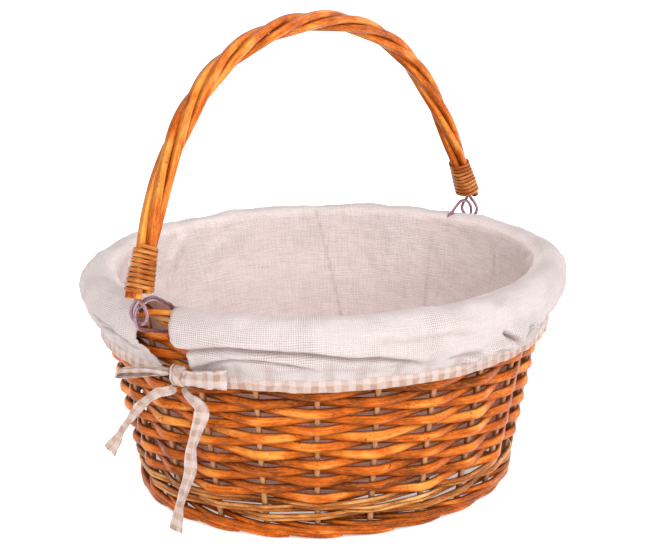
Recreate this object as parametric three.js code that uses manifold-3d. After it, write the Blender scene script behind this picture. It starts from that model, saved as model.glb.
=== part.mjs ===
// A lined wicker basket with a swinging willow handle, as a three.js scene graph.
// Millimetres, +Z up. The origin is on the floor under the basket's centre, and the handle spans the
// longer axis of the oval, Y. The end at -Y, where the lining's front tie hangs, is called near.
import * as THREE from "three";
import { mergeVertices } from "three/addons/utils/BufferGeometryUtils.js";
import Module from "manifold-3d";

const wasm = await Module();
wasm.setup();

// Air left between pieces that touch on the real basket
const CLEAR = 0.35;

// Wall: the stakes stand on an oval that widens from the floor to the rim
const STAKE_COUNT = 24;
const FOOT_HALF_X = 146;
const FOOT_HALF_Y = 158.5;
const RIM_HALF_X = 179;
const RIM_HALF_Y = 190.6;
const RIM_Z = 173.2;
const STAKE_R = 2.3;

// Weavers: one rod to a round, outside one stake and inside the next
const ROW_COUNT = 18;
const ROD_THICK = 5;
const ROW_GAP = 0.6;
const CREST_SWELL = 0.6;

// Rim border, foot border and waling under the rows
const RIM_ROD = 4.8;
const FOOT_ROD = 6;
const FOOT_GAP = 3;
const WALE_COUNT = 3;
const WALE_ROD = 4.8;

// Woven bottom
const BOTTOM_Z = 26;
const BOTTOM_STICKS = 6;
const STICK_WIDE = 5;
const STICK_THICK = 4;
const BOTTOM_WEAVERS = 2;
const BOTTOM_ROUNDS = 6;
const BOTTOM_ROD_WIDE = 5;
const BOTTOM_ROD_THICK = 3.2;
const BOTTOM_INNER_SHARE = 0.27;

// Handle: four willow rods, twisted over the top and bound at both ends
const HANDLE_OVERHANG = 29.4;
const HANDLE_END_Z = 195;
const HANDLE_APEX_Z = 376;
const HANDLE_ROUND = 0.512;
const HANDLE_LEAN = THREE.MathUtils.degToRad(5.2);
const HANDLE_ROD_COUNT = 4;
const HANDLE_ROD_R = 3.45;
const HANDLE_ROD_END_R = 3.1;
const HANDLE_ORBIT = 5.2;
const HANDLE_END_ORBIT = 6.4;
const HANDLE_SPREAD = 13;
const HANDLE_NECK = 40;
const HANDLE_STEPS = 46;
// The rods' turns by their share of the arch from its near end, uneven as in any hand twisting
const HANDLE_TWIST = [[1, 2.5], [0.92, 2.33], [0.33, 0.82], [0.185, 0.355], [0.08, 0.17], [0, 0]];
const BINDING_R = 1.3;
const BINDING_TURNS = 9;
const BINDING_PITCH = 3.65;
const STUB = 5;

// Wire: an eye bound into each end of the handle, linked with a ring round the rim border
const WIRE_R = 1.4;
const EYE_HALF_WIDTH = 7.6;
const EYE_CORE = 1.65;
const EYE_DEPTH = 13.6;
const EYE_HOLD = 12;
const PIVOT_DROP = 5;
const RING_REACH = 4.6;
const RING_DEPTH = 17.4;

// Lining: a cloth bag with two flaps turned out over the rim, gathered on a drawstring casing
const CLOTH = 1.2;
const FLAP_PUFF = 18.6;
const CASING_Z = 133;
const CASING_TALL = 9;
const CASING_THICK = 3;
const FOLD_COUNT = 8;
const FOLD_DEPTH = 0.13;
const EDGE_TUCK = 0.4;

// Ties: the casing's ends knotted into a bow at each end of the basket
const KNOT_X = 13;
const KNOT_WIDE = 13;
const KNOT_TALL = 15;
const KNOT_THICK = 8;
const TIE_WIDE = 9;
const TIE_THICK = 1.6;
const LEFT_LOOP = { length: 50, lift: -10, wide: 6, standOff: 4.2, hollowFaces: "outwards" };
const RIGHT_LOOP = { length: 40, lift: 6, wide: 13.5, standOff: 5.4, hollowFaces: "upwards" };
const LOOP_HALF_DEPTH = 4.2;

const PI2 = 2 * Math.PI;
const UP = new THREE.Vector3(0, 0, 1);
const ACROSS = new THREE.Vector3(1, 0, 0);
const v3 = (x, y, z) => new THREE.Vector3(x, y, z);
const mix = THREE.MathUtils.lerp;
const ease = (value, low, high) => THREE.MathUtils.smoothstep(value, low, high);

const material = (color, roughness, metalness = 0) =>
  new THREE.MeshStandardMaterial({ color, roughness, metalness });
const WILLOW = () => material(0xb9641d, 0.38);
const PALE_WILLOW = () => material(0xcf8a3c, 0.4);
const DARK_WILLOW = () => material(0x8c4316, 0.42);
const STAKE_WILLOW = () => material(0x9a5c33, 0.5);
const LINEN = () => material(0xe4d7d2, 0.9);
const GINGHAM = () => material(0xe2cbb8, 0.85);
const WIRE = () => material(0x6f5264, 0.45, 0.6);

const basket = new THREE.Group();

function addPiece(name, geometry, makeMaterial, turned = false) {
  const mesh = new THREE.Mesh(geometry, makeMaterial());
  mesh.name = name;
  if (turned) mesh.rotation.z = Math.PI;
  basket.add(mesh);
}

// Closed meshes built from rings of points

function enclosedVolume(positions, index) {
  const at = (i) => v3(...positions.slice(3 * i, 3 * i + 3));
  let sum = 0;
  for (let i = 0; i < index.length; i += 3) {
    const [a, b, c] = [at(index[i]), at(index[i + 1]), at(index[i + 2])];
    sum += a.dot(b.cross(c));
  }
  return sum / 6;
}

function closedMesh(points, index) {
  const positions = points.flatMap((p) => [p.x, p.y, p.z]);
  if (enclosedVolume(positions, index) < 0)
    for (let i = 0; i < index.length; i += 3)
      [index[i + 1], index[i + 2]] = [index[i + 2], index[i + 1]];
  return new THREE.BufferGeometry()
    .setAttribute("position", new THREE.Float32BufferAttribute(positions, 3))
    .setIndex(index);
}

// Triangles that close a ring of points, taken from both ends of the list in turn
function capTriangles(start, sides, flip) {
  const triangles = [];
  let low = 0;
  let high = sides - 1;
  while (high - low > 1) {
    triangles.push(low, low + 1, high);
    low += 1;
    if (high - low > 1) {
      triangles.push(low, high - 1, high);
      high -= 1;
    }
  }
  const shifted = triangles.map((i) => start + i);
  return flip ? shifted.reverse() : shifted;
}

function sweep(rings, closed) {
  const sides = rings[0].length;
  const index = [];
  const spans = closed ? rings.length : rings.length - 1;
  for (let r = 0; r < spans; r++) {
    const here = r * sides;
    const next = ((r + 1) % rings.length) * sides;
    for (let s = 0; s < sides; s++) {
      const t = (s + 1) % sides;
      index.push(here + s, next + s, next + t, here + s, next + t, here + t);
    }
  }
  if (!closed) {
    index.push(...capTriangles(0, sides, false));
    index.push(...capTriangles((rings.length - 1) * sides, sides, true));
  }
  return closedMesh(rings.flat(), index);
}

// A tube along points. The section is turned so that its first axis leans on a reference direction.
function tube(points, { radius, sides, closed = false, reference, flat = 1 }) {
  const count = points.length;
  const rings = points.map((p, i) => {
    const before = points[closed ? (i + count - 1) % count : Math.max(i - 1, 0)];
    const after = points[closed ? (i + 1) % count : Math.min(i + 1, count - 1)];
    const along = after.clone().sub(before).normalize();
    const lean = typeof reference === "function" ? reference(i) : reference;
    const first = lean.clone().addScaledVector(along, -lean.dot(along)).normalize();
    const second = along.clone().cross(first);
    const r = typeof radius === "function" ? radius(i) : radius;
    return Array.from({ length: sides }, (_, s) => {
      const angle = (PI2 * (s + 0.5)) / sides;
      return p
        .clone()
        .addScaledVector(first, r * flat * Math.cos(angle))
        .addScaledVector(second, r * Math.sin(angle));
    });
  });
  return sweep(rings, closed);
}

function solidOf(geometry) {
  const bare = geometry.clone();
  bare.deleteAttribute("normal");
  bare.deleteAttribute("uv");
  const merged = mergeVertices(bare);
  return new wasm.Manifold(
    new wasm.Mesh({
      numProp: 3,
      vertProperties: merged.attributes.position.array,
      triVerts: new Uint32Array(merged.index.array),
    }),
  );
}

function joined(geometries) {
  const whole = geometries.map(solidOf).reduce((a, b) => a.add(b));
  const mesh = whole.getMesh();
  return new THREE.BufferGeometry()
    .setAttribute("position", new THREE.BufferAttribute(mesh.vertProperties, 3))
    .setIndex(new THREE.BufferAttribute(mesh.triVerts, 1));
}

// The stake oval at a height, and a point off it: out is measured square to the wall
const ovalX = (z) => mix(FOOT_HALF_X, RIM_HALF_X, z / RIM_Z);
const ovalY = (z) => mix(FOOT_HALF_Y, RIM_HALF_Y, z / RIM_Z);

function outward(theta, z) {
  return v3(Math.cos(theta) / ovalX(z), Math.sin(theta) / ovalY(z), 0).normalize();
}

function wallPoint(theta, out, z) {
  const onOval = v3(ovalX(z) * Math.cos(theta), ovalY(z) * Math.sin(theta), z);
  return onOval.addScaledVector(outward(theta, z), out);
}

const stakeAngle = (i) => (PI2 * (i + 0.5)) / STAKE_COUNT;

// One round of a rod: each station gives its angle, how far out, how high, and half its height
function rodRound(stations, thick) {
  const rings = stations.map(({ theta, out, z, half }) => [
    wallPoint(theta, out + thick / 2, z - half),
    wallPoint(theta, out + thick / 2, z + half),
    wallPoint(theta, out - thick / 2, z + half),
    wallPoint(theta, out - thick / 2, z - half),
  ]);
  return sweep(rings, true);
}

// Heights, from the floor up. A border rod's straight steps cut inside the oval by its chord sag.
const footRise = FOOT_ROD / 2 + CLEAR / 2;
const footZ = footRise + FOOT_ROD / 2;
const footTop = footZ + footRise + FOOT_ROD / 2;
const waleBottom = footTop + FOOT_GAP;
const walePitch = WALE_ROD + ROW_GAP;
const rowsBottom = waleBottom + WALE_COUNT * walePitch;
const chordSag = RIM_HALF_Y * (1 - Math.cos(Math.PI / (2 * STAKE_COUNT)));
const rimRise = STAKE_R + CLEAR + RIM_ROD / 2;
const rimHalf = rimRise + RIM_ROD / 2;
const rimBottom = RIM_Z - rimHalf;
const rimTop = RIM_Z + rimHalf;
const rowsTop = rimBottom - 2 * WIRE_R - 2 * CLEAR;
const rowPitch = (rowsTop - rowsBottom) / ROW_COUNT;
const rowOut = STAKE_R + CLEAR + ROD_THICK / 2;
const wallFace = rowOut + ROD_THICK / 2;
const borderReach = (thick) => STAKE_R + CLEAR + thick / 2 + chordSag;
const innerFace = Math.max(wallFace, borderReach(RIM_ROD) + RIM_ROD / 2 + chordSag) + CLEAR;
const bottomRise = STICK_THICK / 2 + CLEAR + BOTTOM_ROD_THICK / 2;
const bottomTop = BOTTOM_Z + bottomRise + BOTTOM_ROD_THICK / 2;

function makeWeaverRows() {
  const mid = (rowPitch - ROW_GAP) / 2;
  for (let row = 0; row < ROW_COUNT; row++) {
    const stations = Array.from({ length: STAKE_COUNT }, (_, i) => {
      const side = (i + row) % 2 ? -1 : 1;
      return {
        theta: stakeAngle(i),
        out: side * rowOut,
        z: rowsBottom + (row + 0.5) * rowPitch,
        half: mid + side * CREST_SWELL,
      };
    });
    const name = "weaver_row_" + String(row + 1).padStart(2, "0");
    addPiece(name, rodRound(stations, ROD_THICK), row % 3 ? WILLOW : PALE_WILLOW);
  }
}

// Thin rods over two stakes and under one, on top of each other
function makeWaling() {
  for (let rod = 0; rod < WALE_COUNT; rod++) {
    const reach = STAKE_R + CLEAR + WALE_ROD / 2;
    const stations = Array.from({ length: STAKE_COUNT }, (_, i) => ({
      theta: stakeAngle(i),
      out: (i + rod) % WALE_COUNT ? reach : -reach,
      z: waleBottom + (rod + 0.5) * walePitch,
      half: WALE_ROD / 2,
    }));
    addPiece("waling_rod_" + (rod + 1), rodRound(stations, WALE_ROD), PALE_WILLOW);
  }
}

// Two rods that change places between the stakes, one crossing above and one below
function borderRod(pair, z, rise, thick) {
  const reach = borderReach(thick);
  const stations = Array.from({ length: 2 * STAKE_COUNT }, (_, k) => {
    const quarter = (k + 2 * pair) % 4;
    return {
      theta: (PI2 * (k + 1.5)) / (2 * STAKE_COUNT),
      out: quarter === 0 || quarter === 3 ? reach : -reach,
      z: z + (quarter < 2 ? rise : -rise),
      half: thick / 2,
    };
  });
  return rodRound(stations, thick);
}

function makeBorders() {
  for (const pair of [0, 1]) {
    const number = pair + 1;
    addPiece("foot_border_rod_" + number, borderRod(pair, footZ, footRise, FOOT_ROD), DARK_WILLOW);
    addPiece("rim_border_rod_" + number, borderRod(pair, RIM_Z, rimRise, RIM_ROD), DARK_WILLOW);
  }
}

// The stakes run from the foot border to the rim, where their tops lie down into one core
function makeStakes() {
  const low = footZ - FOOT_ROD / 2;
  const stakes = Array.from({ length: STAKE_COUNT }, (_, i) => {
    const theta = stakeAngle(i);
    const ends = [wallPoint(theta, 0, low), wallPoint(theta, 0, RIM_Z)];
    return tube(ends, { radius: STAKE_R, sides: 5, reference: outward(theta, low) });
  });
  const core = Array.from({ length: 2 * STAKE_COUNT }, (_, k) => ({
    theta: (PI2 * (k + 1)) / (2 * STAKE_COUNT),
    out: 0,
    z: RIM_Z,
    half: STAKE_R,
  }));
  addPiece("stakes_and_rim_core", joined([...stakes, rodRound(core, 2 * STAKE_R)]), STAKE_WILLOW);
}

function makeBottom() {
  const reach = -(STAKE_R + CLEAR + WALE_ROD + CLEAR);
  const stick = (k) => {
    const theta = (Math.PI * (k + 0.5)) / BOTTOM_STICKS;
    const side = v3(-Math.sin(theta), Math.cos(theta), 0);
    const ends = [theta, theta + Math.PI].map((t) => wallPoint(t, reach, BOTTOM_Z));
    const rings = ends.map((end) =>
      [[1, 1], [1, -1], [-1, -1], [-1, 1]].map(([s, t]) =>
        end
          .clone()
          .addScaledVector(side, (s * STICK_WIDE) / 2)
          .addScaledVector(UP, (t * STICK_THICK) / 2),
      ),
    );
    return sweep(rings, false);
  };
  const sticks = Array.from({ length: BOTTOM_STICKS }, (_, k) => stick(k));
  addPiece("bottom_sticks", joined(sticks), STAKE_WILLOW);

  const crossings = 2 * BOTTOM_STICKS;
  for (let weaver = 0; weaver < BOTTOM_WEAVERS; weaver++) {
    const name = "bottom_weaver_" + (weaver + 1);
    addPiece(name, sweep(bottomSpiral(weaver, crossings, reach), false), WILLOW);
  }
}

// A weaver winds outwards between the other weaver's rounds, over one stick and under the next.
// It has a station on either side of each stick, so that it lies flat across it.
function bottomSpiral(weaver, crossings, reach) {
  return Array.from({ length: 2 * crossings * BOTTOM_ROUNDS }, (_, station) => {
    const k = Math.floor(station / 2);
    const wound = (k / crossings + weaver / BOTTOM_WEAVERS) / BOTTOM_ROUNDS;
    const share = mix(BOTTOM_INNER_SHARE, 1, wound / (1 + 1 / (BOTTOM_WEAVERS * BOTTOM_ROUNDS)));
    const flatHalf = (STICK_WIDE / 2 + STICK_THICK * 0.7) / (share * ovalX(BOTTOM_Z));
    const theta = (PI2 * (k + 0.5)) / crossings + (station % 2 ? flatHalf : -flatHalf);
    const edge = wallPoint(theta, reach - BOTTOM_ROD_WIDE / 2, BOTTOM_Z);
    const centre = v3(edge.x * share, edge.y * share, BOTTOM_Z);
    centre.z += (k + weaver) % 2 ? bottomRise : -bottomRise;
    const out = v3(Math.cos(theta), Math.sin(theta), 0);
    return [[1, -1], [1, 1], [-1, 1], [-1, -1]].map(([s, t]) =>
      centre
        .clone()
        .addScaledVector(out, (s * BOTTOM_ROD_WIDE) / 2)
        .addScaledVector(UP, (t * BOTTOM_ROD_THICK) / 2),
    );
  });
}

// Handle: its centre line by the distance from the near end
const handleHalfSpan = RIM_HALF_Y + HANDLE_OVERHANG;

function handleArch() {
  const rise = HANDLE_APEX_Z - HANDLE_END_Z;
  const drop = (u) => HANDLE_ROUND * u ** 2 + (1 - HANDLE_ROUND) * u ** 5;
  const fine = 600;
  const points = Array.from({ length: fine + 1 }, (_, i) => {
    const u = (2 * i) / fine - 1;
    return v3(0, handleHalfSpan * u, HANDLE_APEX_Z - rise * drop(Math.abs(u)));
  });
  const lengths = [0];
  for (let i = 1; i <= fine; i++)
    lengths.push(lengths[i - 1] + points[i].distanceTo(points[i - 1]));
  return { points, lengths, total: lengths[fine] };
}

const arch = handleArch();

function archFrame(distance) {
  const next = Math.max(arch.lengths.findIndex((l) => l >= distance), 1);
  const [low, high] = [arch.lengths[next - 1], arch.lengths[next]];
  const along = arch.points[next].clone().sub(arch.points[next - 1]).normalize();
  const centre = arch.points[next - 1].clone().addScaledVector(along, distance - low);
  if (distance > high) centre.copy(arch.points[next]);
  return { centre, along, lift: ACROSS.clone().cross(along) };
}

const fromEnd = (distance) => Math.min(distance, arch.total - distance);
const narrowing = (distance) => ease(fromEnd(distance), HANDLE_SPREAD, HANDLE_NECK);
const orbitAt = (distance) => mix(HANDLE_END_ORBIT, HANDLE_ORBIT, narrowing(distance));
const rodRadiusAt = (distance) => mix(HANDLE_ROD_END_R, HANDLE_ROD_R, narrowing(distance));

const twistAt = (distance) => PI2 * alongOutline(HANDLE_TWIST, distance / arch.total);

function archPoint(distance, x, y) {
  const { centre, lift } = archFrame(distance);
  return centre.addScaledVector(ACROSS, x).addScaledVector(lift, y);
}

// The hinge line passes through both linked wires, just under the ends of the handle's rods
const pivotZ = HANDLE_END_Z - PIVOT_DROP;

// The handle stands leaning a little to one side on its links
function addLeaning(name, geometry, makeMaterial, turned = false) {
  const lean = turned ? HANDLE_LEAN : -HANDLE_LEAN;
  const leaning = geometry.clone().translate(0, 0, -pivotZ).rotateY(lean).translate(0, 0, pivotZ);
  addPiece(name, leaning, makeMaterial, turned);
}

// Two rods reach down past the binding at each end, and the other two stop in it
function makeHandleRods() {
  for (let rod = 0; rod < HANDLE_ROD_COUNT; rod++) {
    const start = rod < 2 ? 0 : STUB;
    const end = arch.total - (rod < 2 ? STUB : 0);
    const stations = Array.from({ length: HANDLE_STEPS + 1 }, (_, i) => mix(start, end, i / HANDLE_STEPS));
    const points = stations.map((d) => {
      const angle = (PI2 * (rod + 0.5)) / HANDLE_ROD_COUNT + twistAt(d);
      return archPoint(d, orbitAt(d) * Math.cos(angle), orbitAt(d) * Math.sin(angle));
    });
    const radius = (i) => rodRadiusAt(stations[i]);
    const geometry = tube(points, { radius, sides: 6, reference: ACROSS });
    addLeaning("handle_rod_" + (rod + 1), geometry, rod % 2 ? PALE_WILLOW : WILLOW);
  }
}

// The least gap between stretches of a winding that are more than half a turn apart
function leastGapToItself(points, radius, stepsPerTurn) {
  let least = Infinity;
  for (let i = 0; i < points.length; i++)
    for (let j = i + Math.floor(stepsPerTurn / 2); j + 1 < points.length; j++) {
      const span = points[j + 1].clone().sub(points[j]);
      const t = points[i].clone().sub(points[j]).dot(span) / span.lengthSq();
      const near = points[j].clone().addScaledVector(span, THREE.MathUtils.clamp(t, 0, 1));
      least = Math.min(least, near.distanceTo(points[i]));
    }
  return least - 2 * radius;
}

// A binding lies over the four rods as a rounded square that turns with them: four steps round each
// rod, then a flat run
function bindingPath() {
  const stepsPerTurn = 16;
  const points = [];
  for (let k = 0; k <= BINDING_TURNS * stepsPerTurn; k++) {
    const step = k % stepsPerTurn;
    const corner = Math.floor(step / 4);
    const distance = STUB + (BINDING_PITCH * k) / stepsPerTurn;
    const angle = (Math.PI / 2) * corner + (Math.PI / 6) * (step % 4) + twistAt(distance);
    const bend = rodRadiusAt(distance) + CLEAR + BINDING_R;
    const home = (Math.PI / 2) * (corner + 0.5) + twistAt(distance);
    const x = orbitAt(distance) * Math.cos(home) + bend * Math.cos(angle);
    const y = orbitAt(distance) * Math.sin(home) + bend * Math.sin(angle);
    points.push(archPoint(distance, x, y));
  }
  const straight = (end, inner) => end.clone().sub(inner).setLength(2 * BINDING_R).add(end);
  points.unshift(straight(points[0], points[1]));
  points.push(straight(points.at(-1), points.at(-2)));
  const gap = leastGapToItself(points, BINDING_R, stepsPerTurn);
  console.log("handle binding: least gap to itself " + gap.toFixed(2) + " mm");
  return points;
}

function makeBindings() {
  const points = bindingPath();
  const axis = archFrame(STUB + (BINDING_TURNS * BINDING_PITCH) / 2).along;
  const shape = { radius: BINDING_R, sides: 5, reference: axis };
  addLeaning("handle_binding_near", tube(points, shape), PALE_WILLOW);
  addLeaning("handle_binding_far", tube(points, shape), PALE_WILLOW, true);
}

// An eye's two legs run up the middle of the four rods, and below them it opens into a loop
function makeHandleEyes() {
  const bendZ = pivotZ - EYE_DEPTH + EYE_HALF_WIDTH;
  const leg = (side) => [
    archPoint(EYE_HOLD, side * EYE_CORE, 0),
    archPoint(0.5, side * EYE_CORE, 0),
    v3(side * (EYE_CORE + 0.6), -handleHalfSpan, HANDLE_END_Z - 1.2),
    v3(side * 0.72 * EYE_HALF_WIDTH, -handleHalfSpan, mix(bendZ, HANDLE_END_Z, 0.5)),
  ];
  const bend = Array.from({ length: 11 }, (_, k) => {
    const angle = Math.PI + (Math.PI * k) / 10;
    const x = EYE_HALF_WIDTH * Math.cos(angle);
    return v3(x, -handleHalfSpan, bendZ + EYE_HALF_WIDTH * Math.sin(angle));
  });
  const points = [...leg(-1), ...bend, ...leg(1).reverse()];
  const reference = v3(0, 1, 0);
  const geometry = tube(points, { radius: WIRE_R, sides: 6, reference });
  addLeaning("handle_wire_eye_near", geometry, WIRE);
  addLeaning("handle_wire_eye_far", geometry, WIRE, true);
}

// The ring goes round the rim border between two stakes and through the eye, in the plane x = 0
function makeRimRings() {
  const halfCrossing = RIM_ROD / 2 + 1.3;
  const inner = RIM_HALF_Y - halfCrossing - 3 * CLEAR - WIRE_R;
  const low = rimBottom - CLEAR - WIRE_R;
  const outer = handleHalfSpan + RING_REACH;
  const top = pivotZ + 2.5 * WIRE_R;
  const points = [
    [inner - 0.3, low + 1.8],
    [inner, RIM_Z + 4],
    [inner + 2.5, rimTop + 3.2],
    [mix(inner, handleHalfSpan, 0.3), top - 2],
    [mix(inner, handleHalfSpan, 0.57), top],
    [mix(inner, handleHalfSpan, 0.8), top - 1.2],
    [handleHalfSpan - 0.5, pivotZ + 0.2],
    [outer - 0.8, pivotZ - 0.3 * RING_DEPTH],
    [outer, pivotZ - 0.62 * RING_DEPTH],
    [outer - 2.6, pivotZ - RING_DEPTH],
    [outer - 9, pivotZ - 1.23 * RING_DEPTH],
    [mix(inner, outer, 0.56), mix(pivotZ - 1.23 * RING_DEPTH, low, 0.45)],
    [inner + 15, low + 0.9],
    [inner + 9, low],
    [inner + 2, low - 0.6],
  ].map(([y, z]) => v3(0, -y, z));
  const curve = new THREE.CatmullRomCurve3(points, true, "centripetal");
  const path = curve.getSpacedPoints(32).slice(0, -1);
  const geometry = tube(path, { radius: WIRE_R, sides: 5, closed: true, reference: ACROSS });
  addPiece("rim_wire_ring_near", geometry, WIRE);
  addPiece("rim_wire_ring_far", geometry, WIRE, true);
}

// Lining

function makeLiningBag() {
  const outside = -innerFace;
  const panelZ = bottomTop + CLEAR;
  const steps = 2 * STAKE_COUNT;
  const angles = Array.from({ length: steps }, (_, i) => (PI2 * i) / steps);
  const plate = (z) => angles.map((theta) => wallPoint(theta, outside, panelZ).setZ(z));
  const panel = sweep([plate(panelZ), plate(panelZ + CLOTH)], false);
  addPiece("lining_bottom_panel", panel, LINEN);

  const wallLow = panelZ + CLOTH + CLEAR;
  const wallHigh = rimTop - RIM_ROD / 2;
  const rings = angles.map((theta) => [
    wallPoint(theta, outside, wallLow),
    wallPoint(theta, outside, wallHigh),
    wallPoint(theta, outside - CLOTH, wallHigh),
    wallPoint(theta, outside - CLOTH, wallLow),
  ]);
  addPiece("lining_side_panel", sweep(rings, true), LINEN);
  return wallHigh;
}

// Interpolates a short outline of [height, value] pairs, highest first
function alongOutline(outline, z) {
  if (z >= outline[0][0]) return outline[0][1];
  for (let i = 1; i < outline.length; i++) {
    const [high, before] = outline[i - 1];
    const [low, after] = outline[i];
    if (z >= low) return mix(after, before, (z - low) / (high - low));
  }
  return outline.at(-1)[1];
}

// The slit that lets the handle out: how far its two edges stand from the handle's plane
const casingTop = CASING_Z + CASING_TALL / 2;
const SLIT_RIGHT = [[rimTop, 6], [158, 13], [152, 24], [casingTop, 26]];
const SLIT_LEFT = [[rimTop, -19], [160, -21], [154, -10], [casingTop, -4]];

// How far out cloth lies where it is drawn snugly over the rows
const snug = wallFace + 2 * CLEAR + CLOTH / 2;

// Mid line of a turned-out flap, from the top of the bag over the rim and down to the casing
function flapProfile(bagTop) {
  const inside = -(innerFace + CLOTH / 2);
  const crown = rimTop + CLEAR + CLOTH / 2 + chordSag;
  const low = casingTop + CLEAR;
  const drop = (share) => mix(crown, low, share);
  return [
    [inside, bagTop + CLEAR],
    [inside - 0.8, rimTop + 0.2],
    [inside + 1, crown + 1.2],
    [0, crown + 1.6],
    [FLAP_PUFF * 0.45, crown + 0.9],
    [FLAP_PUFF * 0.78, drop(0.12)],
    [FLAP_PUFF, drop(0.31)],
    [FLAP_PUFF, drop(0.52)],
    [FLAP_PUFF * 0.76, drop(0.72)],
    [snug, low + CLOTH / 2],
  ];
}

function makeFlap(bagTop) {
  const profile = flapProfile(bagTop);
  const columns = 24;
  const angleAt = (x) => Math.asin(x / RIM_HALF_X);
  const face = (side) =>
    profile.map(([out, z], row) => {
      const before = profile[Math.max(row - 1, 0)];
      const after = profile[Math.min(row + 1, profile.length - 1)];
      const slope = Math.hypot(after[0] - before[0], after[1] - before[1]);
      const normalOut = -(after[1] - before[1]) / slope;
      const normalUp = (after[0] - before[0]) / slope;
      const start = -Math.PI / 2 + angleAt(alongOutline(SLIT_RIGHT, z));
      const end = Math.PI / 2 - angleAt(-alongOutline(SLIT_LEFT, z));
      const loose = Math.max(out - snug, 0);
      return Array.from({ length: columns + 1 }, (_, i) => {
        const share = i / columns;
        const theta = mix(start, end, share);
        const fold = FOLD_DEPTH * Math.cos(PI2 * FOLD_COUNT * share);
        const edge = EDGE_TUCK * (1 - Math.sin(Math.PI * share) ** 0.5);
        const folded = out + loose * (fold - edge);
        const offset = (side * CLOTH) / 2;
        return wallPoint(theta, folded + normalOut * offset, z + normalUp * offset);
      });
    });
  const outer = face(1);
  const inner = face(-1);
  const rings = outer[0].map((_, i) => [
    ...outer.map((row) => row[i]),
    ...inner.map((row) => row[i]).reverse(),
  ]);
  const geometry = sweep(rings, false);
  addPiece("lining_flap_east", geometry, LINEN);
  addPiece("lining_flap_west", geometry, LINEN, true);
}

function makeCasing() {
  const knotEdge = KNOT_WIDE / 2 + CLEAR;
  const start = -Math.PI / 2 + Math.asin((KNOT_X + knotEdge) / ovalX(CASING_Z));
  const end = Math.PI / 2 + Math.asin((KNOT_X - knotEdge) / ovalX(CASING_Z));
  const steps = 30;
  const centre = wallFace + CLEAR + CASING_THICK / 2;
  const rings = Array.from({ length: steps + 1 }, (_, i) => {
    const theta = mix(start, end, i / steps);
    const drawn = mix(0.45, 1, ease(Math.min(i, steps - i), 0, 3));
    const half = (CASING_TALL / 2) * drawn;
    return [[-1, -0.6], [-1, 0.6], [0, 1], [1, 0.6], [1, -0.6], [0, -1]].map(([s, t]) =>
      wallPoint(theta, centre + (s * CASING_THICK) / 2, CASING_Z + t * half),
    );
  });
  const geometry = sweep(rings, false);
  addPiece("gingham_casing_east", geometry, GINGHAM);
  addPiece("gingham_casing_west", geometry, GINGHAM, true);
}

// Bow: points are given from the knot's centre as sideways, outwards and up

const knotAngle = -Math.PI / 2 + Math.asin(KNOT_X / ovalX(CASING_Z));
const knotOut = wallFace + CLEAR + KNOT_THICK / 2;
const knotCentre = wallPoint(knotAngle, knotOut, CASING_Z);
const bowOut = outward(knotAngle, CASING_Z);
const bowSide = UP.clone().cross(bowOut);

function bowPoint([sideways, outwards, up]) {
  return knotCentre
    .clone()
    .addScaledVector(bowSide, sideways)
    .addScaledVector(bowOut, outwards)
    .addScaledVector(UP, up);
}

function knot() {
  const bands = [-1, -0.72, 0, 0.72, 1];
  const rings = bands.map((band) => {
    const size = Math.sqrt(1.12 - band ** 2);
    return Array.from({ length: 8 }, (_, k) => {
      const angle = (PI2 * (k + 0.5)) / 8;
      const out = (KNOT_THICK / 2) * size * Math.cos(angle);
      const up = (KNOT_TALL / 2) * size * Math.sin(angle);
      return bowPoint([(band * KNOT_WIDE) / 2, out, up]);
    });
  });
  return sweep(rings, false);
}

// A flat band bent into a loop beside the knot. The band's width lies along the way its hollow faces.
function bowLoop(side, { length, lift, wide, standOff, hollowFaces }) {
  const root = KNOT_WIDE / 2 + CLEAR + TIE_THICK / 2;
  const steps = 12;
  const rings = Array.from({ length: steps }, (_, k) => {
    const angle = (PI2 * k) / steps;
    const along = (1 - Math.cos(angle)) / 2;
    const swell = 0.35 + 0.65 * along;
    const bow = LOOP_HALF_DEPTH * swell * Math.sin(angle);
    const half = (wide / 2) * (0.65 + 0.35 * along);
    const across = (side * Math.cos(angle) * TIE_THICK) / 2;
    const inward = (-TIE_THICK * LOOP_HALF_DEPTH * Math.sin(angle)) / length;
    const centre = [side * (root + length * along), standOff, lift * along];
    return [[-1, -1], [-1, 1], [1, 1], [1, -1]].map(([s, t]) => {
      const sideways = centre[0] + s * across;
      const bent = bow + s * inward;
      return hollowFaces === "upwards"
        ? bowPoint([sideways, centre[1] + bent, centre[2] + t * half])
        : bowPoint([sideways, centre[1] - t * half, centre[2] + bent]);
    });
  });
  return sweep(rings, true);
}

// The tails' routes, chosen by hand
const SHORT_TAIL = [
  [-3.6, 1, -9.4], [-7, 1.8, -12.2], [-16, 4, -15.2], [-23.5, 5.5, -19.5], [-30, 6, -25],
  [-38, 6, -32.6], [-50, 6, -48], [-59.6, 6, -61.3], [-66, 6, -70.4],
];
const LONG_TAIL = [
  [3.6, -1, -9.4], [7, 1, -12.4], [14, 3.5, -14.6], [21, 4, -18], [23, 4, -25], [16, 3.5, -42.5],
  [11.3, 3, -57.4], [9.5, 3, -73.8], [3.2, 2.5, -89.5], [-2.7, 2, -107.3], [-6.9, 2, -124],
];

function tail(route) {
  const points = route.map(bowPoint);
  const width = TIE_WIDE / 2;
  const flat = TIE_THICK / TIE_WIDE;
  return tube(points, { radius: width, sides: 8, reference: bowOut, flat });
}

function makeBows() {
  const pieces = {
    knot: knot(),
    left_loop: bowLoop(-1, LEFT_LOOP),
    right_loop: bowLoop(1, RIGHT_LOOP),
    short_tail: tail(SHORT_TAIL),
    long_tail: tail(LONG_TAIL),
  };
  for (const [name, geometry] of Object.entries(pieces)) {
    addPiece("near_tie_" + name, geometry, GINGHAM);
    addPiece("far_tie_" + name, geometry, GINGHAM, true);
  }
}

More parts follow.
